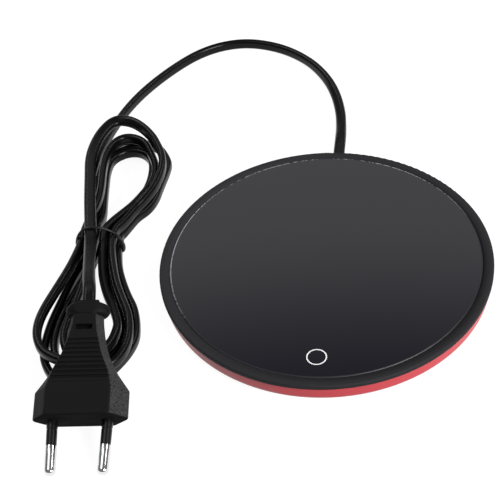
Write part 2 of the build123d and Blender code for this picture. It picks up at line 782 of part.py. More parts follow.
# Thin wire tie round the waist, with its twisted end standing off at the right
tie_out = 1.5 * waist_step + cord_thickness / 2 + tie_slack + tie_wire / 2
tie_top = hank_base + 2 * layer_step + cord_thickness + tie_slack + tie_wire / 2
tie_shoulder = hank_base + 2 * layer_step - cord_gap
strand_share = strand_bundle[1] / (strand_bundle[1] - strand_lift[1])
strand_middle = between(strand_bundle[0], strand_lift[0], strand_share)
tie_left = strand_middle - cord_width / 2
tie_right = strand_middle + cord_width / 2
tie_ring = [
    (-tie_out, 0, tie_wire / 2),
    (tie_out, 0, tie_wire / 2),
    (tie_out, 0, tie_shoulder),
    (tie_right + 1.2, 0, tie_top),
    (tie_left - 0.4, 0, tie_top),
    (-tie_out, 0, tie_shoulder + 1.0),
]
tie_tail = [
    (tie_out + 0.4, 0, 8.6), (tie_out + 1.8, -0.6, 8.2), (tie_out + 2.8, -3.4, 7.4), (tie_out + 2.4, -6.2, 6.4),
]
with BuildPart() as cord_tie:
    with BuildLine() as ring_line:
        FilletPolyline(*from_hank(tie_ring), radius=tie_wire * 1.2, close=True)
    ring_start = ring_line.wire().position_at(0)
    ring_ahead = ring_line.wire().tangent_at(0)
    with BuildSketch(Plane(origin=ring_start, z_dir=ring_ahead)):
        Circle(tie_wire / 2)
    sweep(path=ring_line.wire())
    tail_points = from_hank(tie_tail)
    with BuildLine() as tail_line:
        FilletPolyline(*tail_points, radius=corner_radii(tail_points, 0.45))
    tail_ahead = Vector(*tail_points[1]) - Vector(*tail_points[0])
    with BuildSketch(Plane(origin=tail_points[0], z_dir=tail_ahead)):
        Circle(tie_wire * 0.75)
    sweep(path=tail_line.wire())
cord_tie.part.label = "cord_tie"

# Moulded plug body
plug_stations = [(pin_length + distance, *sizes) for distance, *sizes in plug_profile]
half_thick = plug_stations[1][3]
neck_distance, neck_half = plug_stations[4][0], plug_stations[4][3]


def pin_axis(side):
    """Start on the tip plane and direction of one pin."""
    lean = (pin_base_spacing - pin_tip_spacing) / 2 / pin_length
    ahead = (plug_along + plug_side * (side * lean)).normalized()
    return plug_plane(0, side * pin_tip_spacing / 2).origin, ahead


def pin_plane(side, distance):
    start, ahead = pin_axis(side)
    return Plane(origin=start + ahead * distance, z_dir=ahead)


grip_slope = (half_thick - neck_half) / (neck_distance - plug_stations[1][0])
bridge_start = pin_length + sleeve_seat
with BuildPart() as plug_body:
    for near, far in zip(plug_stations, plug_stations[1:]):
        for distance, wide, flat, thick in (near, far):
            with BuildSketch(plug_plane(distance)):
                Polygon(
                    (-wide, 0), (-flat, thick), (flat, thick), (wide, 0), (flat, -thick), (-flat, -thick),
                    align=None,
                )
        loft(ruled=True)
    with BuildSketch(plug_plane(collar_start)):
        Ellipse(plug_stations[-1][1] + collar_lip[0], plug_stations[-1][3] + collar_lip[1])
    extrude(amount=collar_end - collar_start)
    collar_edges = plug_body.edges().filter_by(GeomType.ELLIPSE)
    fillet(collar_edges, min(collar_round, 0.75 * collar_lip[0]))
    with BuildSketch(plug_plane(collar_end)):
        RectangleRounded(cord_width + 2 * outlet_wall[0], cord_thickness + 2 * outlet_wall[1], outlet_corner)
    extrude(amount=plug_length - collar_end)
    for face in (1, -1):
        for k in range(grip_count):
            distance = pin_length + grip_inset + k * grip_pitch
            level = half_thick - grip_slope * (distance - plug_stations[1][0]) - grip_depth
            with BuildSketch(plug_plane(distance - grip_width / 2)):
                with Locations((0, face * (level + 2))):
                    Rectangle(2 * plug_stations[0][1], 4)
            extrude(amount=grip_width, mode=Mode.SUBTRACT)
    slot_distance = pin_length + slot_inset
    slot_level = neck_half + grip_slope * (neck_distance - slot_distance) - slot_size[2]
    with BuildSketch(plug_plane(slot_distance - slot_size[1] / 2)):
        with Locations((0, slot_level + 2)):
            Rectangle(slot_size[0], 4)
    extrude(amount=slot_size[1], mode=Mode.SUBTRACT)
    with BuildSketch(plug_plane(bridge_start)):
        RectangleRounded(bridge_size[0], bridge_size[1], 1.5)
    extrude(amount=bridge_size[2], mode=Mode.SUBTRACT)
    for side in (-1, 1):
        with BuildSketch(pin_plane(side, pin_length - 1)):
            Circle(pin_diameter / 2)
        extrude(amount=sleeve_seat + 1, mode=Mode.SUBTRACT)
        with BuildSketch(pin_plane(side, pin_length - 1)):
            Circle(pin_core / 2)
        extrude(amount=pin_depth + 1, mode=Mode.SUBTRACT)
plug_body.part.label = "plug_body"

# Hard insert that holds the pins in the soft body
with BuildPart() as pin_bridge:
    with BuildSketch(plug_plane(bridge_start)):
        RectangleRounded(bridge_size[0], bridge_size[1], 1.5)
    extrude(amount=bridge_size[2])
    for side in (-1, 1):
        with BuildSketch(pin_plane(side, pin_length)):
            Circle(pin_core / 2)
        extrude(amount=pin_depth, mode=Mode.SUBTRACT)
pin_bridge.part.label = "pin_bridge"

# Two round pins with a thinner core under the sleeve, and the sleeves, which widen a
# little toward the body by the draft of their mould
with BuildPart() as plug_pins:
    for side in (-1, 1):
        with BuildSketch(pin_plane(side, 0)):
            Circle(pin_diameter / 2)
        extrude(amount=pin_metal)
    tip_edges = plug_pins.edges().filter_by(GeomType.CIRCLE).sort_by(Axis(plug_tip, plug_along))[0:2]
    fillet(tip_edges, pin_diameter * 0.42)
    for side in (-1, 1):
        with BuildSketch(pin_plane(side, pin_metal)):
            Circle(pin_core / 2)
        extrude(amount=pin_length + pin_depth - pin_metal)
plug_pins.part.label = "plug_pins"

with BuildPart() as pin_sleeves:
    sleeve_length = pin_length + sleeve_seat - sleeve_gap - pin_metal
    for side in (-1, 1):
        with BuildSketch(pin_plane(side, pin_metal)):
            Circle(pin_diameter / 2 - sleeve_step)
        extrude(amount=sleeve_length, taper=-sleeve_draft)
        with BuildSketch(pin_plane(side, pin_metal)):
            Circle(pin_core / 2)
        extrude(amount=sleeve_length, mode=Mode.SUBTRACT)
pin_sleeves.part.label = "pin_sleeves"

pieces = [
    base_shell, top_bezel, glass_panel, touch_ring, bezel_gasket, heat_spreader, heater_film,
    insulation_pad, thermal_cutoff, thermistor, heater_tails, control_board, mains_terminal,
    controller_chip, triac, dropper_capacitor, board_fuse, status_led, touch_post, case_screws,
    rubber_feet, strain_relief, cord_lead, cord_hank, plug_lead, cord_tie, plug_body, pin_bridge,
    plug_pins, pin_sleeves,
]
for piece in pieces:
    export_step(piece.part, f"parts/{piece.part.label}.step")
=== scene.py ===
import math

import bmesh
import bpy
import numpy as np
from mathutils import Matrix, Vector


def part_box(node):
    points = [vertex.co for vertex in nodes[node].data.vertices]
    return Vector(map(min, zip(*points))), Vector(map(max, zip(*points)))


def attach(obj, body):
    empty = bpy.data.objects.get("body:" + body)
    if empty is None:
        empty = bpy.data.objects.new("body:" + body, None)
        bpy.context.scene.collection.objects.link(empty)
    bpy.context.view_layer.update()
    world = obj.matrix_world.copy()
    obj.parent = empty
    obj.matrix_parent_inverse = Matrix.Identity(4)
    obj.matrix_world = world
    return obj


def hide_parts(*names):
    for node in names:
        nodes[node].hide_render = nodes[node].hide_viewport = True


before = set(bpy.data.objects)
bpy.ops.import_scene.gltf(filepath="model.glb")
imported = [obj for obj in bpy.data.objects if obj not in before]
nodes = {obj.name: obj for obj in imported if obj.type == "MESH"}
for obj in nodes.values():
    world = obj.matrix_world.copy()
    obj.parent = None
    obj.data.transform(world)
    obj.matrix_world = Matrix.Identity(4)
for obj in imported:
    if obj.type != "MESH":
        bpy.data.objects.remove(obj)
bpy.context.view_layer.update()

scene = bpy.context.scene


# Camera
# The photograph looks down at about 43 degrees from the key's side, with a long lens and
# a small roll. Places are in millimetres from the middle of the mat's foot plane.
MM = 0.001
camera_place = (32.0, -324.6, 326.5)
camera_turn, camera_down, camera_roll = (math.radians(a) for a in (10.5, 43.449, 6.766))


def stand(thing, x, y, z, place):
    """Puts a camera or lamp at a place in metres, with its own axes along three directions."""
    turned = np.eye(4)
    turned[:3, :4] = np.stack([x, y, z, place], axis=1)
    thing.matrix_world = Matrix(turned.tolist())


# The camera's right, up and ahead before its roll, which turns the first two
right = np.array([math.cos(camera_turn), math.sin(camera_turn), 0.0])
level = np.array([-math.sin(camera_turn), math.cos(camera_turn), 0.0])
up = level * math.sin(camera_down) + np.array([0, 0, math.cos(camera_down)])
ahead = level * math.cos(camera_down) - np.array([0, 0, math.sin(camera_down)])
camera_data = bpy.data.cameras.new("camera")
camera_data.lens = 86.4
camera_data.sensor_width = 36.0
camera_data.clip_start = 0.01
camera = bpy.data.objects.new("camera", camera_data)
scene.collection.objects.link(camera)
camera_x = right * math.cos(camera_roll) - up * math.sin(camera_roll)
camera_y = right * math.sin(camera_roll) + up * math.cos(camera_roll)
stand(camera, camera_x, camera_y, -ahead, np.array(camera_place) * MM)
scene.camera = camera
scene.view_settings.view_transform = "Standard"


# Mains cord
# A flat two-core cord in black PVC, 4.8 by 3.0 mm, extruded in one piece. It leaves the
# rim's rear, lies in a wide bend, is wound four times in a tied hank and ends in the plug.
CORD_WIDTH, CORD_THICK, CORD_GAP = 4.8, 3.0, 0.45
TIE_WIRE = 1.0
# The hank's middle and turn, and the heights of its two layers on edge and of the flat strand on
# them. It lies on the wire of its tie.
HANK_X, HANK_Y, HANK_TURN = -89.76, 10.72, math.radians(8.5)
HANK_BASE = TIE_WIRE + 0.1
LAYER_STEP = CORD_WIDTH + CORD_GAP
LOW = HANK_BASE + CORD_WIDTH / 2
HIGH = LOW + LAYER_STEP
FLAT_LEVEL = HANK_BASE + 2 * LAYER_STEP + CORD_THICK / 2


def from_hank(across, along, height):
    """Point in the mat's frame of a point across and along the hank: turned by the hank's turn
    about the upright, then shifted to the hank's middle."""
    c, s = math.cos(HANK_TURN), math.sin(HANK_TURN)
    return (HANK_X + across * c - along * s, HANK_Y + across * s + along * c, height)


# Out of the rim's rear, down to the table and along the wide bend
route = [
    (1.9, 65.7, 4.9), (2.0, 72.5, 5.0), (2.1, 80.0, 4.3), (1.8, 90.0, 2.3), (1.0, 100.8, 2.15),
    (-2.0, 114.6, 2.25), (-7.4, 127.6, 2.4), (-16.6, 140.6, 2.4), (-30.9, 151.2, 2.4), (-49.0, 155.6, 2.4),
    (-67.0, 148.6, 2.4), (-82.5, 130.0, 2.4), (-94.5, 108.5, 2.4), (-101.2, 84.0, 2.4),
]
# Half turns of the hank in the order of winding, each with its height and its points across and
# along. One goes toward the plug and back, the next goes round the far end, and after two full
# turns the strand climbs to the upper layer.
hank_turns = [
    (LOW, [(-6.3, 48.0), (-5.7, 28.2), (-5.6, 8.0)]),
    (LOW, [(-5.5, -4.4), (-9.5, -13.3), (-13.8, -27.5), (-16.8, -37.8), (-18.3, -45.9), (-19.1, -54.7),
           (-16.9, -62.1), (-12.1, -68.9), (-5.0, -71.9), (2.3, -69.3), (7.4, -63.6), (11.6, -58.2),
           (14.7, -51.4), (15.2, -45.5), (14.3, -35.8), (11.2, -28.0), (8.2, -16.9), (7.0, -8.7)]),
    (LOW, [(6.8, 5.4), (9.0, 8.4), (11.5, 12.8), (14.1, 17.0), (18.8, 21.1), (21.7, 27.5), (23.0, 33.2),
           (26.8, 46.9), (26.5, 51.1), (22.8, 60.3), (16.6, 63.9), (10.0, 64.6), (4.2, 62.2), (-0.4, 56.0),
           (-2.1, 47.5), (-3.4, 36.9), (-3.2, 27.1), (-2.9, 16.2), (-2.0, 3.5)]),
    (LOW, [(-2.2, -5.0), (-4.7, -13.5), (-9.5, -25.8), (-12.9, -35.4), (-14.7, -43.1), (-15.4, -50.1),
           (-14.4, -56.4), (-10.1, -63.4), (-3.4, -65.4), (3.1, -62.8), (7.4, -56.9), (9.6, -48.7),
           (9.5, -41.6), (7.7, -34.0), (5.6, -26.3), (4.0, -15.9), (3.8, -6.1)]),
    (LOW, [(2.9, 4.4), (7.5, 12.0), (12.1, 19.9), (16.1, 28.5), (19.1, 37.0), (20.1, 46.0), (19.4, 53.2),
           (14.8, 58.8), (8.5, 59.6), (2.3, 55.7), (0.4, 48.4), (0.1, 38.0), (-0.1, 27.7), (0.0, 20.1)]),
    (LOW + 1.9, [(-0.6, 11.8)]),
    (HIGH - 0.4, [(-1.1, 5.1)]),
    (HIGH, [(-2.3, -2.5), (-3.3, -14.1), (-5.1, -24.9), (-7.5, -36.4), (-9.6, -44.0), (-10.8, -51.0),
            (-9.7, -57.8), (-4.5, -61.9), (1.0, -61.2), (6.6, -57.5), (8.9, -50.0), (8.8, -45.9),
            (6.9, -38.9), (4.1, -31.2), (2.2, -22.0), (1.6, -11.9), (1.6, -2.7)]),
    (HIGH, [(1.8, 4.3), (5.1, 9.0), (9.3, 13.5), (13.3, 17.8), (18.0, 25.2), (21.7, 32.4), (22.3, 41.2),
            (20.5, 48.5), (17.7, 57.4), (13.3, 61.7), (8.3, 63.0), (3.6, 59.7), (0.7, 52.4), (-0.3, 42.0),
            (-0.4, 31.8), (-1.2, 23.0), (-3.8, 14.0), (-6.2, 4.7)]),
    (HIGH, [(-6.8, -2.3), (-10.5, -15.1), (-15.5, -27.3), (-19.5, -37.3), (-21.1, -45.1), (-20.5, -52.1),
            (-17.6, -58.2), (-11.2, -62.5), (-2.9, -66.9), (4.9, -68.3), (10.3, -64.0), (13.1, -56.7),
            (13.5, -48.9), (12.6, -42.1), (10.2, -34.7), (7.6, -25.6), (6.0, -15.4), (5.1, -6.0)]),
]
route += [from_hank(*point, height) for height, half in hank_turns for point in half]
# The last half turn climbs over the others and lies down flat for the way to the plug
last_turn = len(route)
route += [from_hank(*point) for point in (
    (5.7, 3.5, 8.8), (10.2, 9.0, 8.8), (13.9, 14.8, 9.5), (18.3, 19.1, 10.8), (22.4, 24.8, 12.0),
    (25.6, 33.5, 13.3), (25.6, 42.1, 14.1), (23.1, 49.9, 14.0), (21.3, 54.7, 14.0), (17.1, 62.0, 14.0),
    (11.8, 67.6, 14.0), (4.8, 69.7, 14.0), (-0.5, 62.8, 13.8), (-3.6, 54.2, 13.5), (-5.1, 45.4, FLAT_LEVEL),
    (-4.5, 33.1, FLAT_LEVEL), (-4.0, 19.8, FLAT_LEVEL), (-3.3, 9.0, FLAT_LEVEL), (-2.7, 0.0, FLAT_LEVEL),
    (-2.2, -8.0, 14.2), (-1.5, -17.0, 16.6), (-0.8, -26.0, 19.3), (0.0, -35.0, 22.3))]

# The plug's place and directions: along runs from the pin tips to the cord, above is its top
# side. The cord leaves it straight.
PLUG_TIP = np.array([-77.78, -97.0, 2.2])
PLUG_TURN, PLUG_TILT = math.radians(93.5), math.radians(20.0)
plug_along = np.array([math.cos(PLUG_TILT) * math.cos(PLUG_TURN),
                       math.cos(PLUG_TILT) * math.sin(PLUG_TURN), math.sin(PLUG_TILT)])
plug_across = np.cross(plug_along, [0, 0, 1])
plug_across /= np.linalg.norm(plug_across)
plug_above = np.cross(plug_across, plug_along)
PLUG_LENGTH, STRAIGHT_END = 62.5, 5.0
route += [tuple(PLUG_TIP + plug_along * reach) for reach in (PLUG_LENGTH + STRAIGHT_END, PLUG_LENGTH)]


def spline_line(name, points, steps):
    """Points in millimetres on the smooth line that the control points draw: a NURBS curve of
    order 3, read at the given number of steps between two of them."""
    data = bpy.data.curves.new(name, "CURVE")
    data.dimensions = "3D"
    data.resolution_u = steps
    spline = data.splines.new("NURBS")
    spline.points.add(len(points) - 1)
    spline.points.foreach_set("co", [v for p in points for v in (p[0] * MM, p[1] * MM, p[2] * MM, 1.0)])
    spline.order_u = 3
    spline.use_endpoint_u = True
    holder = bpy.data.objects.new(name, data)
    scene.collection.objects.link(holder)
    bpy.context.view_layer.update()
    mesh = bpy.data.meshes.new_from_object(holder)
    line = np.empty(len(mesh.vertices) * 3)
    mesh.vertices.foreach_get("co", line)
    bpy.data.objects.remove(holder)
    bpy.data.meshes.remove(mesh)
    bpy.data.curves.remove(data)
    return line.reshape(-1, 3) / MM


def unit(v):
    """Vectors divided by their lengths."""
    return v / np.linalg.norm(v, axis=-1, keepdims=True)


def grid_piece(name, rings, sharp=40.0):
    """Closed mesh over a grid of points in millimetres. A row is a ring; neighbouring rows are
    joined by four-sided faces, and each end is closed by a fan to the middle of its ring. The UV
    map is the length round and the length along, in metres. If the faces' volumes over the middle
    sum to less than zero, all faces are turned to point outwards."""
    rows, columns = rings.shape[:2]
    points = rings.reshape(-1, 3)
    i, j = np.meshgrid(np.arange(rows - 1), np.arange(columns), indexing="ij")
    k = (j + 1) % columns
    quads = np.stack([i * columns + j, i * columns + k, (i + 1) * columns + k, (i + 1) * columns + j], -1)
    closed = np.concatenate([rings, rings[:, :1]], 1)
    around = np.linalg.norm(np.diff(closed, axis=1), axis=2).mean(0).cumsum()
    around = np.concatenate([[0], around]) * MM
    along = np.linalg.norm(np.diff(rings.mean(1), axis=0), axis=1).cumsum()
    along = np.concatenate([[0], along]) * MM
    u = np.stack([around[j], around[j + 1], around[j + 1], around[j]], -1)
    v = np.stack([along[i], along[i], along[i + 1], along[i + 1]], -1)
    loops, sizes = [quads.reshape(-1)], [np.full(quads.size // 4, 4)]
    uvs = [np.stack([u, v], -1).reshape(-1, 2)]
    for row, turn in ((0, -1), (rows - 1, 1)):
        middle = len(points)
        points = np.concatenate([points, rings[row].mean(0)[None]])
        one = np.arange(columns)
        fan = [row * columns + one, row * columns + (one + 1) % columns, np.full(columns, middle)]
        fan = np.stack(fan, -1)
        loops.append(fan[:, ::turn].reshape(-1))
        sizes.append(np.full(columns, 3))
        uvs.append(np.repeat([[around.mean(), along[row]]], 3 * columns, 0))
    loops, sizes, uvs = np.concatenate(loops), np.concatenate(sizes), np.concatenate(uvs)
    starts = np.concatenate([[0], sizes.cumsum()[:-1]])
    first, second, third = (points[loops[starts + n]] for n in (0, 1, 2))
    last = points[loops[starts + sizes - 1]]
    middle = points.mean(0)
    volume = (np.cross(first - middle, second - middle) * (third - middle)).sum()
    volume += (np.cross(first - middle, third - middle) * (last - middle)).sum()
    if volume < 0:
        owner = np.repeat(np.arange(len(sizes)), sizes)
        place = np.arange(len(loops)) - starts[owner]
        back = starts[owner] + sizes[owner] - 1 - place
        loops, uvs = loops[back], uvs[back]
    mesh = bpy.data.meshes.new(name)
    mesh.vertices.add(len(points))
    mesh.vertices.foreach_set("co", (points * MM).reshape(-1))
    mesh.loops.add(len(loops))
    mesh.loops.foreach_set("vertex_index", loops.astype(np.int32))
    mesh.polygons.add(len(sizes))
    mesh.polygons.foreach_set("loop_start", starts.astype(np.int32))
    layer = mesh.uv_layers.new(name="UVMap")
    layer.data.foreach_set("uv", uvs.reshape(-1))
    mesh.update(calc_edges=True)
    mesh.validate()
    mesh.polygons.foreach_set("use_smooth", np.ones(len(mesh.polygons), bool))
    mesh.set_sharp_from_angle(angle=math.radians(sharp))
    piece = bpy.data.objects.new(name, mesh)
    scene.collection.objects.link(piece)
    return piece


def stadium(width, thick, steps, between=4):
    """Ring of a slot shape, as offsets over the width and the thickness: two half circles of the
    given steps, joined by two straights with some points between their ends."""
    angle = np.linspace(-np.pi / 2, np.pi / 2, steps)
    cap_w = (width - thick) / 2 + thick / 2 * np.cos(angle)
    cap_v = thick / 2 * np.sin(angle)
    straight = np.linspace(1, -1, between + 2)[1:-1] * (width - thick) / 2
    w = np.concatenate([cap_w, straight, -cap_w, -straight])
    v = np.concatenate([cap_v, np.full(between, thick / 2), -cap_v, np.full(between, -thick / 2)])
    return w, v


def swept(line, w, v, roll):
    """Rings of a section carried along a line. Its width stands upright, square to the line, and
    turns about the line by the roll."""
    along = unit(np.gradient(line, axis=0))
    level_side = unit(np.cross(along, [0.0, 0.0, 1.0]))
    upright = np.cross(level_side, along)
    wide = np.cos(roll)[:, None] * upright + np.sin(roll)[:, None] * level_side
    thick = np.cross(along, wide)
    return line[:, None] + w[None, :, None] * wide[:, None] + v[None, :, None] * thick[:, None]


ROUTE_STEPS, HALF_ROUND_STEPS, CORD_SHARP = 14, 9, 60
cord_line = spline_line("cord_route", route, ROUTE_STEPS)
# The cord's roll from standing on its edge: points of the route, counted from its start, and
# degrees. It is flat at both ends.
cord_roll = np.array([
    (0, 90), (2, 78), (3, 60), (4, 54), (5, 42), (7, 0), (last_turn, 0), (last_turn + 6, 0),
    (last_turn + 9, 25), (last_turn + 10, 40), (last_turn + 11, 54), (last_turn + 12, 68),
    (last_turn + 13, 80), (last_turn + 14, 90), (len(route) - 1, 90),
])
# Each stretch of the spline lies round the middle between two route points
share = np.linspace(0, len(route) - 2, len(cord_line)) + 0.5
roll = np.radians(np.interp(share, cord_roll[:, 0], cord_roll[:, 1]))
section = stadium(CORD_WIDTH, CORD_THICK, HALF_ROUND_STEPS)
mains_cord = grid_piece("mains_cord", swept(cord_line, *section, roll), sharp=CORD_SHARP)
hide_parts("cord_lead", "cord_hank", "plug_lead")
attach(mains_cord, "root")


def linear(hex_colour):
    """Linear colour of an sRGB hex value, by the sRGB curve."""
    s = np.array([int(hex_colour[k:k + 2], 16) for k in (1, 3, 5)]) / 255
    return (*np.where(s <= 0.04045, s / 12.92, ((s + 0.055) / 1.055) ** 2.4), 1.0)


def add(tree, kind, inputs=(), **settings):
    """A node with its settings, and its inputs as values or links."""
    made = tree.nodes.new(kind)
    for key, value in settings.items():
        setattr(made, key, value)
    for key, value in dict(inputs).items():
        if isinstance(value, bpy.types.NodeSocket):
            tree.links.new(value, made.inputs[key])
        else:
            made.inputs[key].default_value = value
    return made


def start(name):
    """An empty material and its node tree."""
    made = bpy.data.materials.new(name)
    made.use_nodes = True
    made.node_tree.nodes.clear()
    return made, made.node_tree


def dress(look, shader, *pieces):
    """Ends a material's tree with its shader, and the pieces wear that material alone."""
    add(look.node_tree, "ShaderNodeOutputMaterial", {"Surface": shader.outputs[0]})
    for piece in pieces:
        piece.data.materials.clear()
        piece.data.materials.append(look)


# Extruded PVC: deep black and glossy, with slow waves along its length and fine dull
# streaks from the die, so that its highlights run as thin, slightly broken lines.
extruded_pvc, tree = start("extruded_pvc")
uv = add(tree, "ShaderNodeUVMap", uv_map="UVMap").outputs[0]
stretch = add(tree, "ShaderNodeMapping", {"Vector": uv, "Scale": (1400.0, 120.0, 1.0)}).outputs[0]
streaks = add(tree, "ShaderNodeTexNoise", {"Vector": stretch, "Scale": 1.0, "Detail": 3.0}).outputs[0]
slow = add(tree, "ShaderNodeMapping", {"Vector": uv, "Scale": (300.0, 90.0, 1.0)}).outputs[0]
waves = add(tree, "ShaderNodeTexNoise", {"Vector": slow, "Scale": 1.0, "Detail": 2.0}).outputs[0]
dull = add(tree, "ShaderNodeMapRange", {"Value": streaks, "To Min": 0.2, "To Max": 0.34}).outputs[0]
ripple = add(tree, "ShaderNodeBump", {"Height": waves, "Strength": 0.25, "Distance": 0.00012}).outputs[0]
jacket = add(tree, "ShaderNodeBsdfPrincipled", {
    "Base Color": linear("#080808"), "Roughness": dull, "Normal": ripple, "IOR": 1.5,
    "Specular IOR Level": 0.15,
})
dress(extruded_pvc, jacket, mains_cord)


# Wire tie
# A short steel wire in a black plastic cover, bent once round the hank's waist, with its
# two ends crossed at the right side. It lies slack over the flat strand on the top.

# Places across, along and above the hank: once round its waist, and the twisted end
tie_turns = [
    (0.0, 0, 0.5), (6.0, 0, 0.5), (8.6, 0, 0.9), (9.3, 0, 3.4), (8.9, 0, 6.4), (7.6, 0, 9.6), (5.2, 0, 12.4),
    (2.0, 0, 14.4), (-1.2, 0, 15.3), (-4.4, 0, 15.2), (-7.2, 0, 12.9), (-8.9, 0, 9.4), (-9.4, 0, 5.5),
    (-8.8, 0, 1.4), (-6.0, 0, 0.5), (0.0, 0, 0.5),
]
TIE_STEPS = 8
tie_line = spline_line("tie_route", [from_hank(*p) for p in tie_turns], TIE_STEPS)
tie_ends = [(7.0, -1.1, 10.6), (8.2, -1.0, 8.7), (8.9, -1.0, 6.2), (9.0, -1.3, 4.2), (8.6, -1.9, 2.8)]
tie_end_line = spline_line("tie_end_route", [from_hank(*p) for p in tie_ends], TIE_STEPS)


def wire(name, line, width, steps=12):
    """A round section carried along a line: a circle in the plane square to the line."""
    ahead = unit(np.gradient(line, axis=0))
    nearly_along = from_hank(0.05, 1, 0) - np.array(from_hank(0, 0, 0))
    side = unit(np.cross(ahead, nearly_along))
    other = np.cross(ahead, side)
    angle = np.linspace(0, 2 * np.pi, steps + 1)[:-1]
    circle = np.cos(angle)[None, :, None] * side[:, None] + np.sin(angle)[None, :, None] * other[:, None]
    return grid_piece(name, line[:, None] + width / 2 * circle)


wire_tie, tie_end = wire("wire_tie", tie_line, TIE_WIRE), wire("tie_end", tie_end_line, TIE_WIRE)
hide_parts("cord_tie")
for piece in (wire_tie, tie_end):
    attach(piece, "root")

# Plastic-covered wire: a satin black skin whose faint grain, drawn at 0.4 mm, blurs its lights.
tie_cover, tree = start("plastic_covered_wire")
place = add(tree, "ShaderNodeTexCoord").outputs["Object"]
grain = add(tree, "ShaderNodeTexNoise", {"Vector": place, "Scale": 2500.0, "Detail": 2.0}).outputs[0]
bumps = add(tree, "ShaderNodeBump", {"Height": grain, "Strength": 0.3, "Distance": 0.0001}).outputs[0]
cover = add(tree, "ShaderNodeBsdfPrincipled", {
    "Base Color": linear("#131314"), "Roughness": 0.38, "Normal": bumps, "IOR": 1.5,
    "Specular IOR Level": 0.25,
})
dress(tie_cover, cover, wire_tie, tie_end)


# Plug body
# The plug is moulded onto the cord in black PVC: a flat-topped body with slanted sides that
# narrows to a neck with grip grooves, a slot over the cord clamp and a round collar.

# Rows: distance from the pin tips, half width, half width of the flat top, half thickness
NECK_THICK = 4.4
plug_profile = np.array([
    (19.0, 16.4, 10.6, 6.3), (19.25, 16.8, 10.9, 6.7), (19.7, 17.0, 11.1, 6.85), (29.0, 17.0, 11.1, 6.85),
    (35.0, 12.6, 9.7, 6.5), (38.5, 10.5, 8.2, 6.2), (41.6, 9.1, 6.9, 5.9), (46.0, 7.7, 5.6, 5.35),
    (50.0, 6.9, 4.6, 5.0), (54.0, 6.3, 4.0, 4.7), (57.4, 6.0, 3.7, NECK_THICK),
    (PLUG_LENGTH, 6.0, 3.7, NECK_THICK),
])
# The collar with its half width and half thickness, and those of the mouth behind it
COLLAR_START, COLLAR_END, COLLAR_WIDE, COLLAR_THICK = 57.1, 61.7, 8.0, 4.95
MOUTH_WIDE, MOUTH_THICK = 4.3, 3.2
# Grooves, all nine alike, the slot, and the sunk panel between the face and the grooves
GRIP_START, GRIP_PITCH, GRIP_HALF, GRIP_DEPTH, GRIP_COUNT = 32.8, 1.74, 0.52, 0.62, 9
SLOT_PLACE, SLOT_LONG, SLOT_WIDE, SLOT_DEEP = 51.7, 2.0, 5.8, 2.2
PANEL_START, PANEL_END, PANEL_WIDE, PANEL_DEEP = 20.4, 31.0, 10.05, 0.18
# For the six sides of a ring, from the upper slant on the right round over the top: how many
# points each has, and how much of the mould's coarse grain and of painted sheen it carries; the
# right slants get the most, painted lighter as if lit from the right. The pins' face ends a
# little before that grain starts.
SIDE_POINTS = (14, 72, 14, 14, 48, 14)
SIDE_GRAIN_AND_SHEEN = np.array([1.0, 0.0, 0.3, 0.3, 0.0, 1.0])
FACE_END, GRAIN_START = 19.3, 19.6


def step(x, low, high):
    """Smooth step from 0 at low to 1 at high: three squares less two cubes of the share between."""
    t = np.clip((x - low) / (high - low), 0, 1)
    return t * t * (3 - 2 * t)


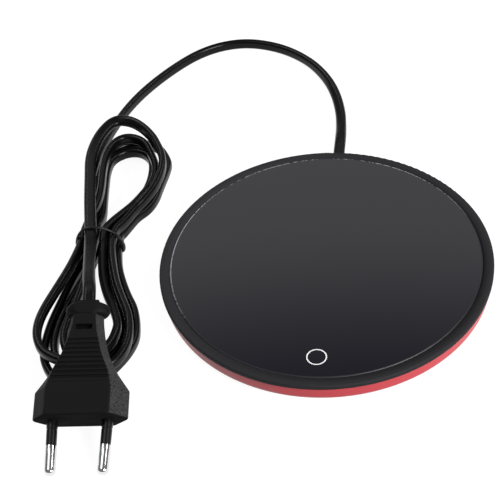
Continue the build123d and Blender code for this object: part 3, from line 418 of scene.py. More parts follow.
def plug_rings():
    """Rings along the plug, closest where it has fine steps. A ring is a six-sided section with
    eased corners, which turns into a flat-topped ellipse at the collar and is cut down to the
    mouth behind it. Its flat sides are sunk in the grooves and the panel, the top one also in the
    slot. With the rings come the amounts of coarse grain with painted sheen, and of dull face, at
    their points."""
    d = np.unique(np.concatenate([
        np.linspace(19, 19.7, 6), np.linspace(19.7, 31.6, 36), [30.9, 31.1], np.linspace(31.6, 48.2, 116),
        np.linspace(48.2, 50.6, 8), [50.65, 50.75, 52.65, 52.75], np.linspace(50.75, 52.65, 6),
        np.linspace(52.8, 56.7, 9), np.linspace(56.7, PLUG_LENGTH, 44)]))
    wide, flat, thick = (np.interp(d, plug_profile[:, 0], plug_profile[:, k])[:, None] for k in (1, 2, 3))

    # six corners, the points between them, and three rounds of averaging over neighbours
    t = np.concatenate([np.linspace(0, 1, n, endpoint=False) for n in SIDE_POINTS])
    edge = np.repeat(np.arange(6), SIDE_POINTS)
    corner_x = np.stack(np.broadcast_arrays(wide, flat, -flat, -wide, -flat, flat), -1)[:, 0]
    corner_y = np.stack(np.broadcast_arrays(0 * wide, thick, thick, 0 * wide, -thick, -thick), -1)[:, 0]
    x = corner_x[:, edge] * (1 - t) + corner_x[:, (edge + 1) % 6] * t
    y = corner_y[:, edge] * (1 - t) + corner_y[:, (edge + 1) % 6] * t
    for _ in range(3):
        x = (np.roll(x, 1, 1) + 2 * x + np.roll(x, -1, 1)) / 4
        y = (np.roll(y, 1, 1) + 2 * y + np.roll(y, -1, 1)) / 4

    # the collar: an ellipse that is a little smaller toward its two ends, cut flat at the neck's height
    turn = np.arctan2(y / thick, x / wide)
    into = step(d, COLLAR_START - 0.35, COLLAR_START + 0.25)
    into = into * (1 - step(d, COLLAR_END - 0.1, COLLAR_END + 0.1))
    middle, reach = (COLLAR_START + COLLAR_END) / 2, (COLLAR_END - COLLAR_START) / 2
    eased = 0.7 + 0.3 * np.sqrt(np.clip(1 - (np.abs(d - middle) / reach) ** 2.2, 0, 1))
    ring_x = COLLAR_WIDE * np.cos(turn) * (into * eased)[:, None]
    ring_y = COLLAR_THICK * np.sin(turn) * (into * eased ** 0.4)[:, None]
    x = x * (1 - into[:, None]) + ring_x
    y = y * (1 - into[:, None]) + np.clip(ring_y, -NECK_THICK, NECK_THICK)
    past = step(d, COLLAR_END - 0.05, COLLAR_END + 0.12)[:, None]
    x = x * (1 - past) + past * np.clip(x, -MOUTH_WIDE, MOUTH_WIDE)
    y = y * (1 - past) + past * np.clip(y, -MOUTH_THICK, MOUTH_THICK)

    # what sinks the two flat sides, each from 0 to 1
    level = step(np.abs(y), 0.93 * thick, 0.99 * thick) * (edge % 3 == 1)
    wave = (d - GRIP_START) / GRIP_PITCH
    grip = np.clip(1 - np.abs((wave - np.round(wave)) * GRIP_PITCH / GRIP_HALF) ** 4, 0, 1)
    grip = (grip * (wave > -0.5) * (wave < GRIP_COUNT - 0.5))[:, None]
    slot = (1 - step(np.abs(d - SLOT_PLACE), SLOT_LONG / 2 - 0.05, SLOT_LONG / 2 + 0.05))[:, None]
    slot = slot * (1 - step(np.abs(x), SLOT_WIDE / 2 - 0.1, SLOT_WIDE / 2 + 0.1)) * (y > 0)
    panel = step(d, PANEL_START - 0.1, PANEL_START + 0.1) * (1 - step(d, PANEL_END - 0.1, PANEL_END + 0.1))
    panel = panel[:, None] * (1 - step(np.abs(x), PANEL_WIDE - 0.15, PANEL_WIDE + 0.15))
    sunk = np.maximum(GRIP_DEPTH * grip, np.maximum(PANEL_DEEP * panel, SLOT_DEEP * slot))
    y = y - np.sign(y) * level * sunk

    rings = PLUG_TIP + d[:, None, None] * plug_along + x[..., None] * plug_across + y[..., None] * plug_above
    # coarse grain with painted sheen on the slanted sides, from the face's end to the collar
    grain_sheen_amount = ((d > GRAIN_START) & (d < COLLAR_START - 0.3))[:, None] * SIDE_GRAIN_AND_SHEEN[edge]
    face = np.broadcast_to(1.0 * (d < FACE_END)[:, None], x.shape)
    return rings, grain_sheen_amount, face


rings, side_grain_sheen, pin_face = plug_rings()
plug_body = grid_piece("plug_moulding", rings, sharp=32)
# The two closing points come last: the first is in the pins' face, the second in the cord's end
for name, amount, ends in (("side_grain_and_sheen", side_grain_sheen, (0, 0)), ("dull_face", pin_face, (1, 0))):
    layer = plug_body.data.attributes.new(name, "FLOAT", "POINT")
    layer.data.foreach_set("value", np.append(amount, ends))
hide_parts("plug_body")
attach(plug_body, "root")

# A colour mix node's sockets: the share, the colours that it runs from and to, and the result
SHARE, FROM, TO, MIXED = 0, 6, 7, 2

# Moulded PVC: the top is a smooth matte black, and the slanted sides carry the mould's coarse
# spark grain, about 0.4 mm. Their colour is also painted a lighter grey as painted sheen, most on
# the right side, where the light falls. The pins' face is dullest.
moulded_pvc, tree = start("moulded_pvc")
place = add(tree, "ShaderNodeTexCoord").outputs["Object"]
grain_sheen_share = add(tree, "ShaderNodeAttribute", attribute_name="side_grain_and_sheen").outputs["Fac"]
spark = add(tree, "ShaderNodeTexVoronoi", {"Vector": place, "Scale": 2400.0}).outputs["Distance"]
fine = add(tree, "ShaderNodeTexNoise", {"Vector": place, "Scale": 6000.0, "Detail": 2.0}).outputs[0]
deep = add(tree, "ShaderNodeMapRange", {"Value": grain_sheen_share, "To Min": 0.06, "To Max": 0.85}).outputs[0]
sparked = add(tree, "ShaderNodeBump", {"Height": spark, "Strength": deep, "Distance": 0.00025}).outputs[0]
bumps = add(tree, "ShaderNodeBump", {
    "Height": fine, "Strength": 0.12, "Distance": 0.00005, "Normal": sparked,
}).outputs[0]
specks = add(tree, "ShaderNodeTexNoise", {"Vector": place, "Scale": 2600.0, "Detail": 2.0}).outputs[0]
specks = add(tree, "ShaderNodeMapRange", {"Value": specks, "From Min": 0.35, "From Max": 0.65}).outputs[0]
# painted sheen: the grained sides are coloured from black to a speckled grey
painted_sheen_grey = add(tree, "ShaderNodeMix", {SHARE: specks, FROM: linear("#1c1c1c"), TO: linear("#424242")},
           data_type="RGBA").outputs[MIXED]
tone = add(tree, "ShaderNodeMix", {SHARE: grain_sheen_share, FROM: linear("#111111"), TO: painted_sheen_grey},
           data_type="RGBA").outputs[MIXED]
dull = add(tree, "ShaderNodeMapRange", {"Value": fine, "To Min": 0.46, "To Max": 0.6}).outputs[0]
face = add(tree, "ShaderNodeAttribute", attribute_name="dull_face").outputs["Fac"]
dull = add(tree, "ShaderNodeMath", {0: face, 1: 0.4, 2: dull}, operation="MULTIPLY_ADD").outputs[0]
moulding = add(tree, "ShaderNodeBsdfPrincipled", {
    "Base Color": tone, "Roughness": dull, "Normal": bumps, "IOR": 1.5, "Specular IOR Level": 0.06,
})
dress(moulded_pvc, moulding, plug_body)


# Plug pins, sleeves and insert
# Two 4 mm pins of nickel-plated brass, 19 mm long and leaning a little together. Each has
# a black nylon sleeve over its root, and a hard insert holds both inside the soft body.

# Distances between the pins' middles at the body and at the tips, the pins' length, and how much
# of it is bare
PIN_BASE, PIN_TIP, PIN_LENGTH, PIN_METAL = 19.2, 17.9, 19.0, 10.2
PIN_RADIUS, TIP_ROUND = 2.0, 1.7


def turned_rings(side, distance, radius, steps=32):
    """Rings round a pin's line, at distances from its tip and with a radius for each: circles
    in the plane square to the line. The side is -1 or 1."""
    lean = (PIN_BASE - PIN_TIP) / 2 / PIN_LENGTH
    ahead = unit(plug_along + plug_across * side * lean)
    first = unit(np.cross(ahead, plug_above))
    second = np.cross(ahead, first)
    angle = np.linspace(0, 2 * np.pi, steps + 1)[:-1]
    circle = np.cos(angle)[:, None] * first + np.sin(angle)[:, None] * second
    middle = PLUG_TIP + plug_across * side * PIN_TIP / 2 + np.array(distance)[:, None] * ahead
    return middle[:, None] + np.array(radius)[:, None, None] * circle


def pair(name, distance, radius, sharp):
    """A piece of both pins in one mesh: the same rings round the left pin and the right one."""
    made = [grid_piece(name + end, turned_rings(side, distance, radius), sharp=sharp)
            for side, end in ((-1, "_left"), (1, "_right"))]
    work = bmesh.new()
    for one in made:
        work.from_mesh(one.data)
    mesh = bpy.data.meshes.new(name)
    work.to_mesh(mesh)
    work.free()
    for one in made:
        bpy.data.objects.remove(one)
    mesh.set_sharp_from_angle(angle=math.radians(sharp))
    both = bpy.data.objects.new(name, mesh)
    scene.collection.objects.link(both)
    return both


# Distances and radii: the rounded tip, the bare pin and its thinner core under the sleeve
round_end = np.linspace(0.06, np.pi / 2, 9)
pin_d = [*(TIP_ROUND - TIP_ROUND * np.cos(round_end)), 4.0, 7.0, 9.9,
         PIN_METAL, PIN_METAL + 0.01, PIN_METAL + 6]
pin_r = [*(PIN_RADIUS - TIP_ROUND + TIP_ROUND * np.sin(round_end)), PIN_RADIUS, PIN_RADIUS, PIN_RADIUS,
         1.9, 1.5, 1.5]
plug_pins = pair("bright_pins", pin_d, pin_r, sharp=40)
# The sleeve has a fine groove round it near the body
sleeve_d = [PIN_METAL, PIN_METAL + 0.15, 13.0, 15.8, 15.95, 16.25, 16.4, 18.0, 19.6, 20.9]
sleeve_r = [1.7, 1.84, 1.86, 1.88, 1.72, 1.72, 1.94, 1.95, 1.96, 1.97]
pin_sleeves = pair("nylon_sleeves", sleeve_d, sleeve_r, sharp=28)
for piece, node, slot in ((plug_pins, "plug_pins", "pin_plating"),
                          (pin_sleeves, "pin_sleeves", "sleeve_plastic")):
    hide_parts(node)
    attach(piece, "root")

# Nickel plating: bright and mirror-like, with light scuffs along the pin from use.
nickel_plate, tree = start("nickel_plated_brass")
place = add(tree, "ShaderNodeTexCoord").outputs["Object"]
drawn = add(tree, "ShaderNodeMapping", {"Vector": place, "Scale": (3000.0, 250.0, 1500.0)}).outputs[0]
scuffs = add(tree, "ShaderNodeTexNoise", {"Vector": drawn, "Scale": 1.0, "Detail": 3.0}).outputs[0]
bright = add(tree, "ShaderNodeMapRange", {"Value": scuffs, "To Min": 0.06, "To Max": 0.2}).outputs[0]
marks = add(tree, "ShaderNodeBump", {"Height": scuffs, "Strength": 0.08, "Distance": 0.00005}).outputs[0]
plating = add(tree, "ShaderNodeBsdfPrincipled", {
    "Base Color": linear("#e2e2e2"), "Metallic": 1.0, "Roughness": bright, "Normal": marks,
})
dress(nickel_plate, plating, plug_pins)

# Moulded nylon: smooth satin black, with a soft light along each sleeve.
moulded_nylon, tree = start("moulded_nylon")
place = add(tree, "ShaderNodeTexCoord").outputs["Object"]
grain = add(tree, "ShaderNodeTexNoise", {"Vector": place, "Scale": 3500.0, "Detail": 2.0}).outputs[0]
dull = add(tree, "ShaderNodeMapRange", {"Value": grain, "To Min": 0.24, "To Max": 0.36}).outputs[0]
bumps = add(tree, "ShaderNodeBump", {"Height": grain, "Strength": 0.1, "Distance": 0.00005}).outputs[0]
sleeve = add(tree, "ShaderNodeBsdfPrincipled", {
    "Base Color": linear("#0b0b0b"), "Roughness": dull, "Normal": bumps, "IOR": 1.53,
    "Specular IOR Level": 0.25,
})
dress(moulded_nylon, sleeve, pin_sleeves)

# Glass-filled nylon of the insert: matte dark grey with short fibres at the surface.
filled_nylon, tree = start("glass_filled_nylon")
place = add(tree, "ShaderNodeTexCoord").outputs["Object"]
drawn = add(tree, "ShaderNodeMapping", {"Vector": place, "Scale": (4000.0, 700.0, 2500.0)}).outputs[0]
fibres = add(tree, "ShaderNodeTexNoise", {"Vector": drawn, "Scale": 1.0, "Detail": 3.0}).outputs[0]
tone = add(tree, "ShaderNodeMix", {SHARE: fibres, FROM: linear("#2a2a2b"), TO: linear("#4a4a4c")},
           data_type="RGBA").outputs[MIXED]
bumps = add(tree, "ShaderNodeBump", {"Height": fibres, "Strength": 0.3, "Distance": 0.00008}).outputs[0]
insert = add(tree, "ShaderNodeBsdfPrincipled", {
    "Base Color": tone, "Roughness": 0.6, "Normal": bumps, "IOR": 1.53,
})
dress(filled_nylon, insert, nodes["pin_bridge"])


# Strain relief
# A small boot of soft PVC, moulded onto the cord. Its flange sits in the wall between the
# dish and the rim, and its nose stands out at the rear.
def smooth_copy(node, sharp=30.0):
    """A copy of a CAD node's mesh, with points nearer than a micron merged, shaded smooth but for
    edges over an angle."""
    mesh = nodes[node].data.copy()
    work = bmesh.new()
    work.from_mesh(mesh)
    bmesh.ops.remove_doubles(work, verts=work.verts, dist=1e-6)
    work.to_mesh(mesh)
    work.free()
    mesh.polygons.foreach_set("use_smooth", np.ones(len(mesh.polygons), bool))
    mesh.set_sharp_from_angle(angle=math.radians(sharp))
    piece = bpy.data.objects.new(node + "_smooth", mesh)
    scene.collection.objects.link(piece)
    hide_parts(node)
    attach(piece, "root")
    return piece


relief = smooth_copy("strain_relief")

# Moulded soft PVC: black and satin, duller than the cord, with the mould's fine grain at 0.3 mm.
soft_pvc, tree = start("moulded_soft_pvc")
place = add(tree, "ShaderNodeTexCoord").outputs["Object"]
grain = add(tree, "ShaderNodeTexNoise", {"Vector": place, "Scale": 3000.0, "Detail": 3.0}).outputs[0]
bumps = add(tree, "ShaderNodeBump", {"Height": grain, "Strength": 0.25, "Distance": 0.00006}).outputs[0]
boot = add(tree, "ShaderNodeBsdfPrincipled", {
    "Base Color": linear("#101011"), "Roughness": 0.45, "Normal": bumps, "IOR": 1.5,
    "Specular IOR Level": 0.35,
})
dress(soft_pvc, boot, relief)


# Red dish
# The lower case is a shallow dish of red ABS, injection moulded with a satin wall. The
# black rim laps over its edge, and four screws from below hold the two together.
dish = smooth_copy("base_shell")

# Moulded red ABS: satin and even, its red a little uneven where the melt flowed. The mould's
# spark grain is finer than 0.1 mm and is drawn at 0.25 mm so that it shows.
red_abs, tree = start("moulded_abs_red")
place = add(tree, "ShaderNodeTexCoord").outputs["Object"]
grain = add(tree, "ShaderNodeTexNoise", {"Vector": place, "Scale": 4000.0, "Detail": 2.0}).outputs[0]
flow = add(tree, "ShaderNodeTexNoise", {"Vector": place, "Scale": 45.0, "Detail": 2.0}).outputs[0]
tone = add(tree, "ShaderNodeMix", {SHARE: flow, FROM: linear("#bd2b37"), TO: linear("#c63540")},
           data_type="RGBA").outputs[MIXED]
dull = add(tree, "ShaderNodeMapRange", {"Value": grain, "To Min": 0.3, "To Max": 0.44}).outputs[0]
bumps = add(tree, "ShaderNodeBump", {"Height": grain, "Strength": 0.12, "Distance": 0.00005}).outputs[0]
shell = add(tree, "ShaderNodeBsdfPrincipled", {
    "Base Color": tone, "Roughness": dull, "Normal": bumps, "IOR": 1.53,
})
dress(red_abs, shell, dish)


# Feet and screws
# Four rubber discs are glued into shallow recesses of the dish, and four countersunk screws of
# zinc-plated steel between them hold the dish to the rim.
feet = smooth_copy("rubber_feet")

# Moulded rubber: matte black, greyed in patches of about 1 mm by dust.
foot_rubber, tree = start("moulded_rubber")
place = add(tree, "ShaderNodeTexCoord").outputs["Object"]
dust = add(tree, "ShaderNodeTexNoise", {"Vector": place, "Scale": 900.0, "Detail": 4.0}).outputs[0]
tone = add(tree, "ShaderNodeMix", {SHARE: dust, FROM: linear("#141414"), TO: linear("#2c2c2b")},
           data_type="RGBA").outputs[MIXED]
bumps = add(tree, "ShaderNodeBump", {"Height": dust, "Strength": 0.35, "Distance": 0.0001}).outputs[0]
rubber = add(tree, "ShaderNodeBsdfPrincipled", {
    "Base Color": tone, "Roughness": 0.75, "Normal": bumps, "IOR": 1.52,
})
dress(foot_rubber, rubber, feet)

screws = smooth_copy("case_screws")

# Zinc-plated steel: a satin metal that the plating bath clouds from bluish to yellowish.
zinc_plate, tree = start("zinc_plated_steel")
place = add(tree, "ShaderNodeTexCoord").outputs["Object"]
bath = add(tree, "ShaderNodeTexNoise", {"Vector": place, "Scale": 700.0, "Detail": 3.0}).outputs[0]
tone = add(tree, "ShaderNodeMix", {SHARE: bath, FROM: linear("#a9adb2"), TO: linear("#c4c2b2")},
           data_type="RGBA").outputs[MIXED]
dull = add(tree, "ShaderNodeMapRange", {"Value": bath, "To Min": 0.22, "To Max": 0.4}).outputs[0]
zinc = add(tree, "ShaderNodeBsdfPrincipled", {"Base Color": tone, "Metallic": 1.0, "Roughness": dull})
dress(zinc_plate, zinc, screws)


# Black rim
# One moulding in black ABS: a flat ring round the glass, a ledge under it and a skirt that
# stands in the dish. Its surface has a fine, even spark grain.
rim = smooth_copy("top_bezel")

# Moulded black ABS: dull and soft grey in the light, because its grain scatters it. The grain is
# drawn at 0.28 mm so that it shows.
black_abs, tree = start("moulded_abs_black")
place = add(tree, "ShaderNodeTexCoord").outputs["Object"]
grain = add(tree, "ShaderNodeTexNoise", {"Vector": place, "Scale": 3600.0, "Detail": 2.0}).outputs[0]
dull = add(tree, "ShaderNodeMapRange", {"Value": grain, "To Min": 0.55, "To Max": 0.7}).outputs[0]
bumps = add(tree, "ShaderNodeBump", {"Height": grain, "Strength": 0.22, "Distance": 0.00006}).outputs[0]
bezel = add(tree, "ShaderNodeBsdfPrincipled", {
    "Base Color": linear("#252527"), "Roughness": dull, "Normal": bumps, "IOR": 1.53,
    "Specular IOR Level": 0.1,
})
dress(black_abs, bezel, rim)


# Glass plate, touch ring and gasket
# A 2 mm plate of toughened glass, printed black on its back, lies on a silicone gasket in
# the rim. The touch key is a fine ring of fired white enamel in its front.
GLASS_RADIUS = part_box("glass_panel")[1][0]
GROUND_EDGE = 0.0006

# Back-printed glass: a polished, nearly black mirror, whose gloss varies a little with a wiped
# film. Its outer 0.6 mm is ground and dull. Toward the rear left that ground edge carries a
# painted glint: tiny bright specks in its colour, which crowd in places.
dark_glass, tree = start("back_printed_glass")
place = add(tree, "ShaderNodeTexCoord").outputs["Object"]
film = add(tree, "ShaderNodeTexNoise", {"Vector": place, "Scale": 60.0, "Detail": 4.0}).outputs[0]
wiped = add(tree, "ShaderNodeMapRange", {"Value": film, "To Min": 0.015, "To Max": 0.05}).outputs[0]
radius = add(tree, "ShaderNodeVectorMath", {0: place, 1: (1.0, 1.0, 0.0)}, operation="MULTIPLY").outputs[0]
radius = add(tree, "ShaderNodeVectorMath", {0: radius}, operation="LENGTH").outputs["Value"]
rim_zone = add(tree, "ShaderNodeMath", {0: radius, 1: GLASS_RADIUS - GROUND_EDGE},
               operation="GREATER_THAN").outputs[0]
# painted glint: bright specks from two noises, kept to the ground edge
painted_glint_specks = add(tree, "ShaderNodeTexNoise", {"Vector": place, "Scale": 900.0, "Detail": 3.0}).outputs[0]
stretches = add(tree, "ShaderNodeTexNoise", {"Vector": place, "Scale": 40.0, "Detail": 2.0}).outputs[0]
both = add(tree, "ShaderNodeMath", {0: painted_glint_specks, 1: stretches}, operation="ADD").outputs[0]
ground = add(tree, "ShaderNodeMath", {0: rim_zone, 1: 0.5, 2: wiped}, operation="MULTIPLY_ADD").outputs[0]
bright = add(tree, "ShaderNodeMapRange", {"Value": both, "From Min": 0.94, "From Max": 1.04}).outputs[0]
# the painted glint is kept to the rear left side of the plate
painted_glint_side = add(tree, "ShaderNodeVectorMath", {0: place, 1: (-0.5, 0.87, 0.0)},
           operation="DOT_PRODUCT").outputs["Value"]
painted_glint_side = add(tree, "ShaderNodeMapRange", {"Value": painted_glint_side, "From Min": -0.01, "From Max": 0.03}).outputs[0]
bright = add(tree, "ShaderNodeMath", {0: bright, 1: rim_zone}, operation="MULTIPLY").outputs[0]
bright = add(tree, "ShaderNodeMath", {0: bright, 1: painted_glint_side}, operation="MULTIPLY").outputs[0]
# painted glint: the colour runs from near black to light grey where the specks, the ground edge and the rear
# left meet
tone = add(tree, "ShaderNodeMix", {SHARE: bright, FROM: linear("#0b0a14"), TO: linear("#8e8e90")},
           data_type="RGBA").outputs[MIXED]
plate = add(tree, "ShaderNodeBsdfPrincipled", {"Base Color": tone, "Roughness": ground, "IOR": 1.52})
dress(dark_glass, plate, nodes["glass_panel"])

# Fired white enamel: satin white with a fine print grain of 0.2 mm.
white_enamel, tree = start("fired_white_enamel")
place = add(tree, "ShaderNodeTexCoord").outputs["Object"]
print_grain = add(tree, "ShaderNodeTexNoise", {"Vector": place, "Scale": 5000.0, "Detail": 2.0}).outputs[0]
tone = add(tree, "ShaderNodeMix", {SHARE: print_grain, FROM: linear("#dcdcdc"), TO: linear("#ececec")},
           data_type="RGBA").outputs[MIXED]
enamel = add(tree, "ShaderNodeBsdfPrincipled", {"Base Color": tone, "Roughness": 0.35, "IOR": 1.5})
dress(white_enamel, enamel, nodes["touch_ring"])

# Moulded silicone: soft, pale and a little milky, with talc on it.
soft_silicone, tree = start("moulded_silicone")
place = add(tree, "ShaderNodeTexCoord").outputs["Object"]
talc = add(tree, "ShaderNodeTexNoise", {"Vector": place, "Scale": 1200.0, "Detail": 3.0}).outputs[0]
tone = add(tree, "ShaderNodeMix", {SHARE: talc, FROM: linear("#c2c1bb"), TO: linear("#d2d1cc")},
           data_type="RGBA").outputs[MIXED]
gasket = add(tree, "ShaderNodeBsdfPrincipled", {
    "Base Color": tone, "Roughness": 0.6, "IOR": 1.41, "Subsurface Weight": 0.05,
})
dress(soft_silicone, gasket, nodes["bezel_gasket"])


# Heater stack
# Under the glass lie a rolled aluminium plate, an etched foil heater in amber polyimide
# film with its two tails, a felt pad, and two ceramic heat sensors.

# Rolled aluminium: bright and satin, with fine lines along the way it was rolled, 0.25 mm apart.
rolled_aluminium, tree = start("rolled_aluminium")
place = add(tree, "ShaderNodeTexCoord").outputs["Object"]
drawn = add(tree, "ShaderNodeMapping", {"Vector": place, "Scale": (60.0, 4000.0, 400.0)}).outputs[0]
lines = add(tree, "ShaderNodeTexNoise", {"Vector": drawn, "Scale": 1.0, "Detail": 4.0}).outputs[0]
dull = add(tree, "ShaderNodeMapRange", {"Value": lines, "To Min": 0.25, "To Max": 0.45}).outputs[0]
bumps = add(tree, "ShaderNodeBump", {"Height": lines, "Strength": 0.15, "Distance": 0.00004}).outputs[0]
sheet = add(tree, "ShaderNodeBsdfPrincipled", {
    "Base Color": linear("#d3d6d8"), "Metallic": 1.0, "Roughness": dull, "Normal": bumps,
})
dress(rolled_aluminium, sheet, nodes["heat_spreader"])

# Polyimide film: clear amber over grey foil tracks, 2 mm apart.
heater_film, tree = start("polyimide_foil_heater")
place = add(tree, "ShaderNodeTexCoord").outputs["Object"]
tracks = add(tree, "ShaderNodeTexWave", {"Vector": place, "Scale": 160.0, "Distortion": 0.4},
             wave_type="RINGS", rings_direction="Z").outputs["Fac"]
edges = add(tree, "ShaderNodeMapRange", {"Value": tracks, "From Min": 0.4, "From Max": 0.5}).outputs[0]
tone = add(tree, "ShaderNodeMix", {SHARE: edges, FROM: linear("#9a5a14"), TO: linear("#8f7a5a")},
           data_type="RGBA").outputs[MIXED]
bumps = add(tree, "ShaderNodeBump", {"Height": edges, "Strength": 0.3, "Distance": 0.00004}).outputs[0]
film = add(tree, "ShaderNodeBsdfPrincipled", {
    "Base Color": tone, "Roughness": 0.22, "Normal": bumps, "IOR": 1.7,
})
dress(heater_film, film, nodes["heater_film"], nodes["heater_tails"])

# Needled felt: pale, with crossing fibres about 0.1 mm thick, drawn at 0.4 mm.
needled_felt, tree = start("needled_felt")
place = add(tree, "ShaderNodeTexCoord").outputs["Object"]
fibres = add(tree, "ShaderNodeTexNoise", {
    "Vector": place, "Scale": 2500.0, "Detail": 5.0, "Distortion": 1.5,
}).outputs[0]
tone = add(tree, "ShaderNodeMix", {SHARE: fibres, FROM: linear("#c9c5ba"), TO: linear("#e6e3da")},
           data_type="RGBA").outputs[MIXED]
bumps = add(tree, "ShaderNodeBump", {"Height": fibres, "Strength": 0.6, "Distance": 0.0003}).outputs[0]
felt = add(tree, "ShaderNodeBsdfPrincipled", {
    "Base Color": tone, "Roughness": 0.95, "Normal": bumps, "Sheen Weight": 0.3, "Sheen Roughness": 0.5,
})
dress(needled_felt, felt, nodes["insulation_pad"])

# Fired ceramic: matte cream with faint grains, drawn at 0.5 mm.
fired_ceramic, tree = start("fired_ceramic")
place = add(tree, "ShaderNodeTexCoord").outputs["Object"]
specks = add(tree, "ShaderNodeTexNoise", {"Vector": place, "Scale": 2000.0, "Detail": 4.0}).outputs[0]
tone = add(tree, "ShaderNodeMix", {SHARE: specks, FROM: linear("#cdbf9d"), TO: linear("#e0d6ba")},
           data_type="RGBA").outputs[MIXED]
bumps = add(tree, "ShaderNodeBump", {"Height": specks, "Strength": 0.2, "Distance": 0.00005}).outputs[0]
bead = add(tree, "ShaderNodeBsdfPrincipled", {
    "Base Color": tone, "Roughness": 0.5, "Normal": bumps, "IOR": 1.6,
})
dress(fired_ceramic, bead, nodes["thermal_cutoff"], nodes["thermistor"])


# Control board
# A small board of green glass laminate stands in front of the heater on two stakes. It carries
# a terminal, a chip, a switch for the heater, a capacitor, a fuse, a lamp and the key's foam post.

# Glass laminate: green lacquer, glossy over a glass weave of 0.8 mm, with lighter lines 3 mm apart
# where the copper runs.
board_laminate, tree = start("glass_laminate")
place = add(tree, "ShaderNodeTexCoord").outputs["Object"]
weave = add(tree, "ShaderNodeTexChecker", {"Vector": place, "Scale": 1250.0}).outputs["Fac"]
runs = add(tree, "ShaderNodeTexBrick", {"Vector": place, "Scale": 330.0, "Mortar Size": 0.03}).outputs["Fac"]
tone = add(tree, "ShaderNodeMix", {SHARE: runs, FROM: linear("#14502c"), TO: linear("#24713f")},
           data_type="RGBA").outputs[MIXED]
bumps = add(tree, "ShaderNodeBump", {"Height": weave, "Strength": 0.08, "Distance": 0.00003}).outputs[0]
lacquer = add(tree, "ShaderNodeBsdfPrincipled", {
    "Base Color": tone, "Roughness": 0.3, "Normal": bumps, "IOR": 1.55,
})
dress(board_laminate, lacquer, nodes["control_board"])

# Small parts and the two wires: each has the moulded, glazed, dipped or extruded skin of its own
# material, in a colour that wanders between two shades over a fine grain. The row says the
# material, the shades, the grain's scale per metre and the roughness.
small_parts = {
    "mains_terminal": ("moulded_nylon_green", "#1f6b46", "#2a7d53", 3000.0, 0.45),
    "controller_chip": ("moulded_epoxy", "#151516", "#232325", 4500.0, 0.62),
    "triac": ("moulded_epoxy_power", "#17181a", "#27282a", 3500.0, 0.55),
    "dropper_capacitor": ("dipped_epoxy_red", "#8e2416", "#a5301f", 500.0, 0.2),
    "board_fuse": ("glazed_tube", "#d6cfbd", "#e6e0d2", 1500.0, 0.15),
    "status_led": ("clear_epoxy_lens", "#e9e7df", "#f4f3ee", 900.0, 0.1),
    "touch_post": ("conductive_foam", "#1a1a1a", "#343434", 1800.0, 0.95),
    "live_wire": ("extruded_insulation_brown", "#5e3218", "#6d3c1f", 800.0, 0.35),
    "neutral_wire": ("extruded_insulation_blue", "#234f9c", "#2e5dae", 800.0, 0.35),
}
for node, (name, dark, light, scale, roughness) in small_parts.items():
    look, tree = start(name)
    place = add(tree, "ShaderNodeTexCoord").outputs["Object"]
    grain = add(tree, "ShaderNodeTexNoise", {"Vector": place, "Scale": scale, "Detail": 3.0}).outputs[0]
    tone = add(tree, "ShaderNodeMix", {SHARE: grain, FROM: linear(dark), TO: linear(light)},
               data_type="RGBA").outputs[MIXED]
    bumps = add(tree, "ShaderNodeBump", {"Height": grain, "Strength": 0.2, "Distance": 0.00006}).outputs[0]
    skin = add(tree, "ShaderNodeBsdfPrincipled", {
        "Base Color": tone, "Roughness": roughness, "Normal": bumps, "IOR": 1.53,
    })
    dress(look, skin, nodes[node])


# Floor and light
# A white card lies under the mat. A soft box in front at the right gives most of the light, a
# small one over the plug whitens the pins, and two strips behind draw the thin lights on the
# cord. A bright panel far behind is what the glass mirrors.
FLOOR_REACH = 20.0
floor_mesh = bpy.data.meshes.new("floor")
corners = [(x * FLOOR_REACH, y * FLOOR_REACH, 0) for x, y in ((-1, -1), (1, -1), (1, 1), (-1, 1))]
floor_mesh.from_pydata(corners, [], [(0, 1, 2, 3)])
floor = bpy.data.objects.new("floor", floor_mesh)
scene.collection.objects.link(floor)

# White card: the camera and mirrors see it white by its own glow, and the lamps see a mid grey,
# which takes the object's shadow.
FLOOR_GLOW = 0.92
white_sheet, tree = start("white_sheet")
path = add(tree, "ShaderNodeLightPath").outputs
seen = add(tree, "ShaderNodeMath", {0: path["Is Camera Ray"], 1: path["Is Glossy Ray"]}, operation="MAXIMUM")
seen = add(tree, "ShaderNodeMath", {0: seen.outputs[0], 1: path["Is Transmission Ray"]}, operation="MAXIMUM")
diffuse = add(tree, "ShaderNodeBsdfDiffuse", {"Color": linear("#707070")})
glow = add(tree, "ShaderNodeEmission", {"Color": (1, 1, 1, 1), "Strength": FLOOR_GLOW})
nothing = add(tree, "ShaderNodeEmission", {"Color": (0, 0, 0, 1), "Strength": 0.0})
chosen = add(tree, "ShaderNodeMixShader", {0: seen.outputs[0], 1: nothing.outputs[0], 2: glow.outputs[0]})
both = add(tree, "ShaderNodeAddShader", {0: diffuse.outputs[0], 1: chosen.outputs[0]})
dress(white_sheet, both, floor)

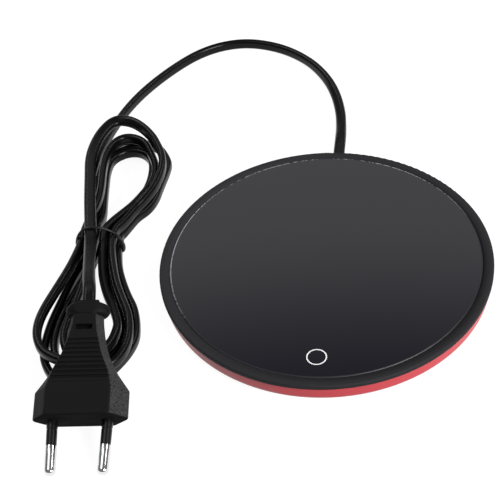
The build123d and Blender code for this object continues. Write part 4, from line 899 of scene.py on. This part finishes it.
# The studio: dim grey all round, and the panel at the rear. On a sphere of radius one round the
# object, it fades in over the foot's heights and the rear's depths, and out over the top's heights.
ROOM_LIGHT, PANEL_LIGHT = 0.19, 0.70
PANEL_FOOT, PANEL_TOP, PANEL_REAR = (0.38, 0.62), (0.671, 0.778), (0.1, 0.6)
world = bpy.data.worlds.new("studio")
scene.world = world
world.use_nodes = True
tree = world.node_tree
tree.nodes.clear()
way = add(tree, "ShaderNodeSeparateXYZ", {0: add(tree, "ShaderNodeTexCoord").outputs["Generated"]}).outputs
fade = add(tree, "ShaderNodeMapRange", {
    "Value": way["Z"], "From Min": PANEL_TOP[0], "From Max": PANEL_TOP[1], "To Min": 1.0, "To Max": 0.0,
}, interpolation_type="SMOOTHSTEP").outputs[0]
behind = add(tree, "ShaderNodeMapRange", {
    "Value": way["Y"], "From Min": PANEL_REAR[0], "From Max": PANEL_REAR[1],
}, interpolation_type="SMOOTHSTEP").outputs[0]
rise = add(tree, "ShaderNodeMapRange", {
    "Value": way["Z"], "From Min": PANEL_FOOT[0], "From Max": PANEL_FOOT[1],
}, interpolation_type="SMOOTHSTEP").outputs[0]
panel = add(tree, "ShaderNodeMath", {0: fade, 1: behind}, operation="MULTIPLY").outputs[0]
panel = add(tree, "ShaderNodeMath", {0: panel, 1: rise}, operation="MULTIPLY").outputs[0]
strength = add(tree, "ShaderNodeMath", {0: panel, 1: PANEL_LIGHT, 2: ROOM_LIGHT},
               operation="MULTIPLY_ADD").outputs[0]
back = add(tree, "ShaderNodeBackground", {"Color": (1, 1, 1, 1), "Strength": strength})
add(tree, "ShaderNodeOutputWorld", {"Surface": back.outputs[0]})


def soft_box(name, place, aim, size, power):
    """A rectangular lamp at a place, turned to face a point, its first side level. Places and
    sizes are in metres, the power is in watts."""
    data = bpy.data.lights.new(name, "AREA")
    data.shape = "RECTANGLE"
    data.size, data.size_y = size
    data.energy = power
    lamp = bpy.data.objects.new(name, data)
    scene.collection.objects.link(lamp)
    z = unit(np.array(place) - np.array(aim))
    x = unit(np.cross([0, 0, 1.0], z))
    stand(lamp, x, np.cross(z, x), z, place)


soft_box("soft_box_front", (0.95, -0.75, 0.75), (0, 0, 0), (0.6, 0.45), 25.0)
soft_box("soft_box_top", (-0.42, -0.17, 0.94), (-0.078, -0.097, 0), (0.4, 0.5), 1.2)
soft_box("strip_left", (-0.7, 0.5, 0.95), (-0.05, 0.5, 0), (1.1, 0.08), 4.0)
soft_box("strip_right", (0.75, 0.5, 0.85), (0.0, 0.5, 0), (1.1, 0.08), 4.0)
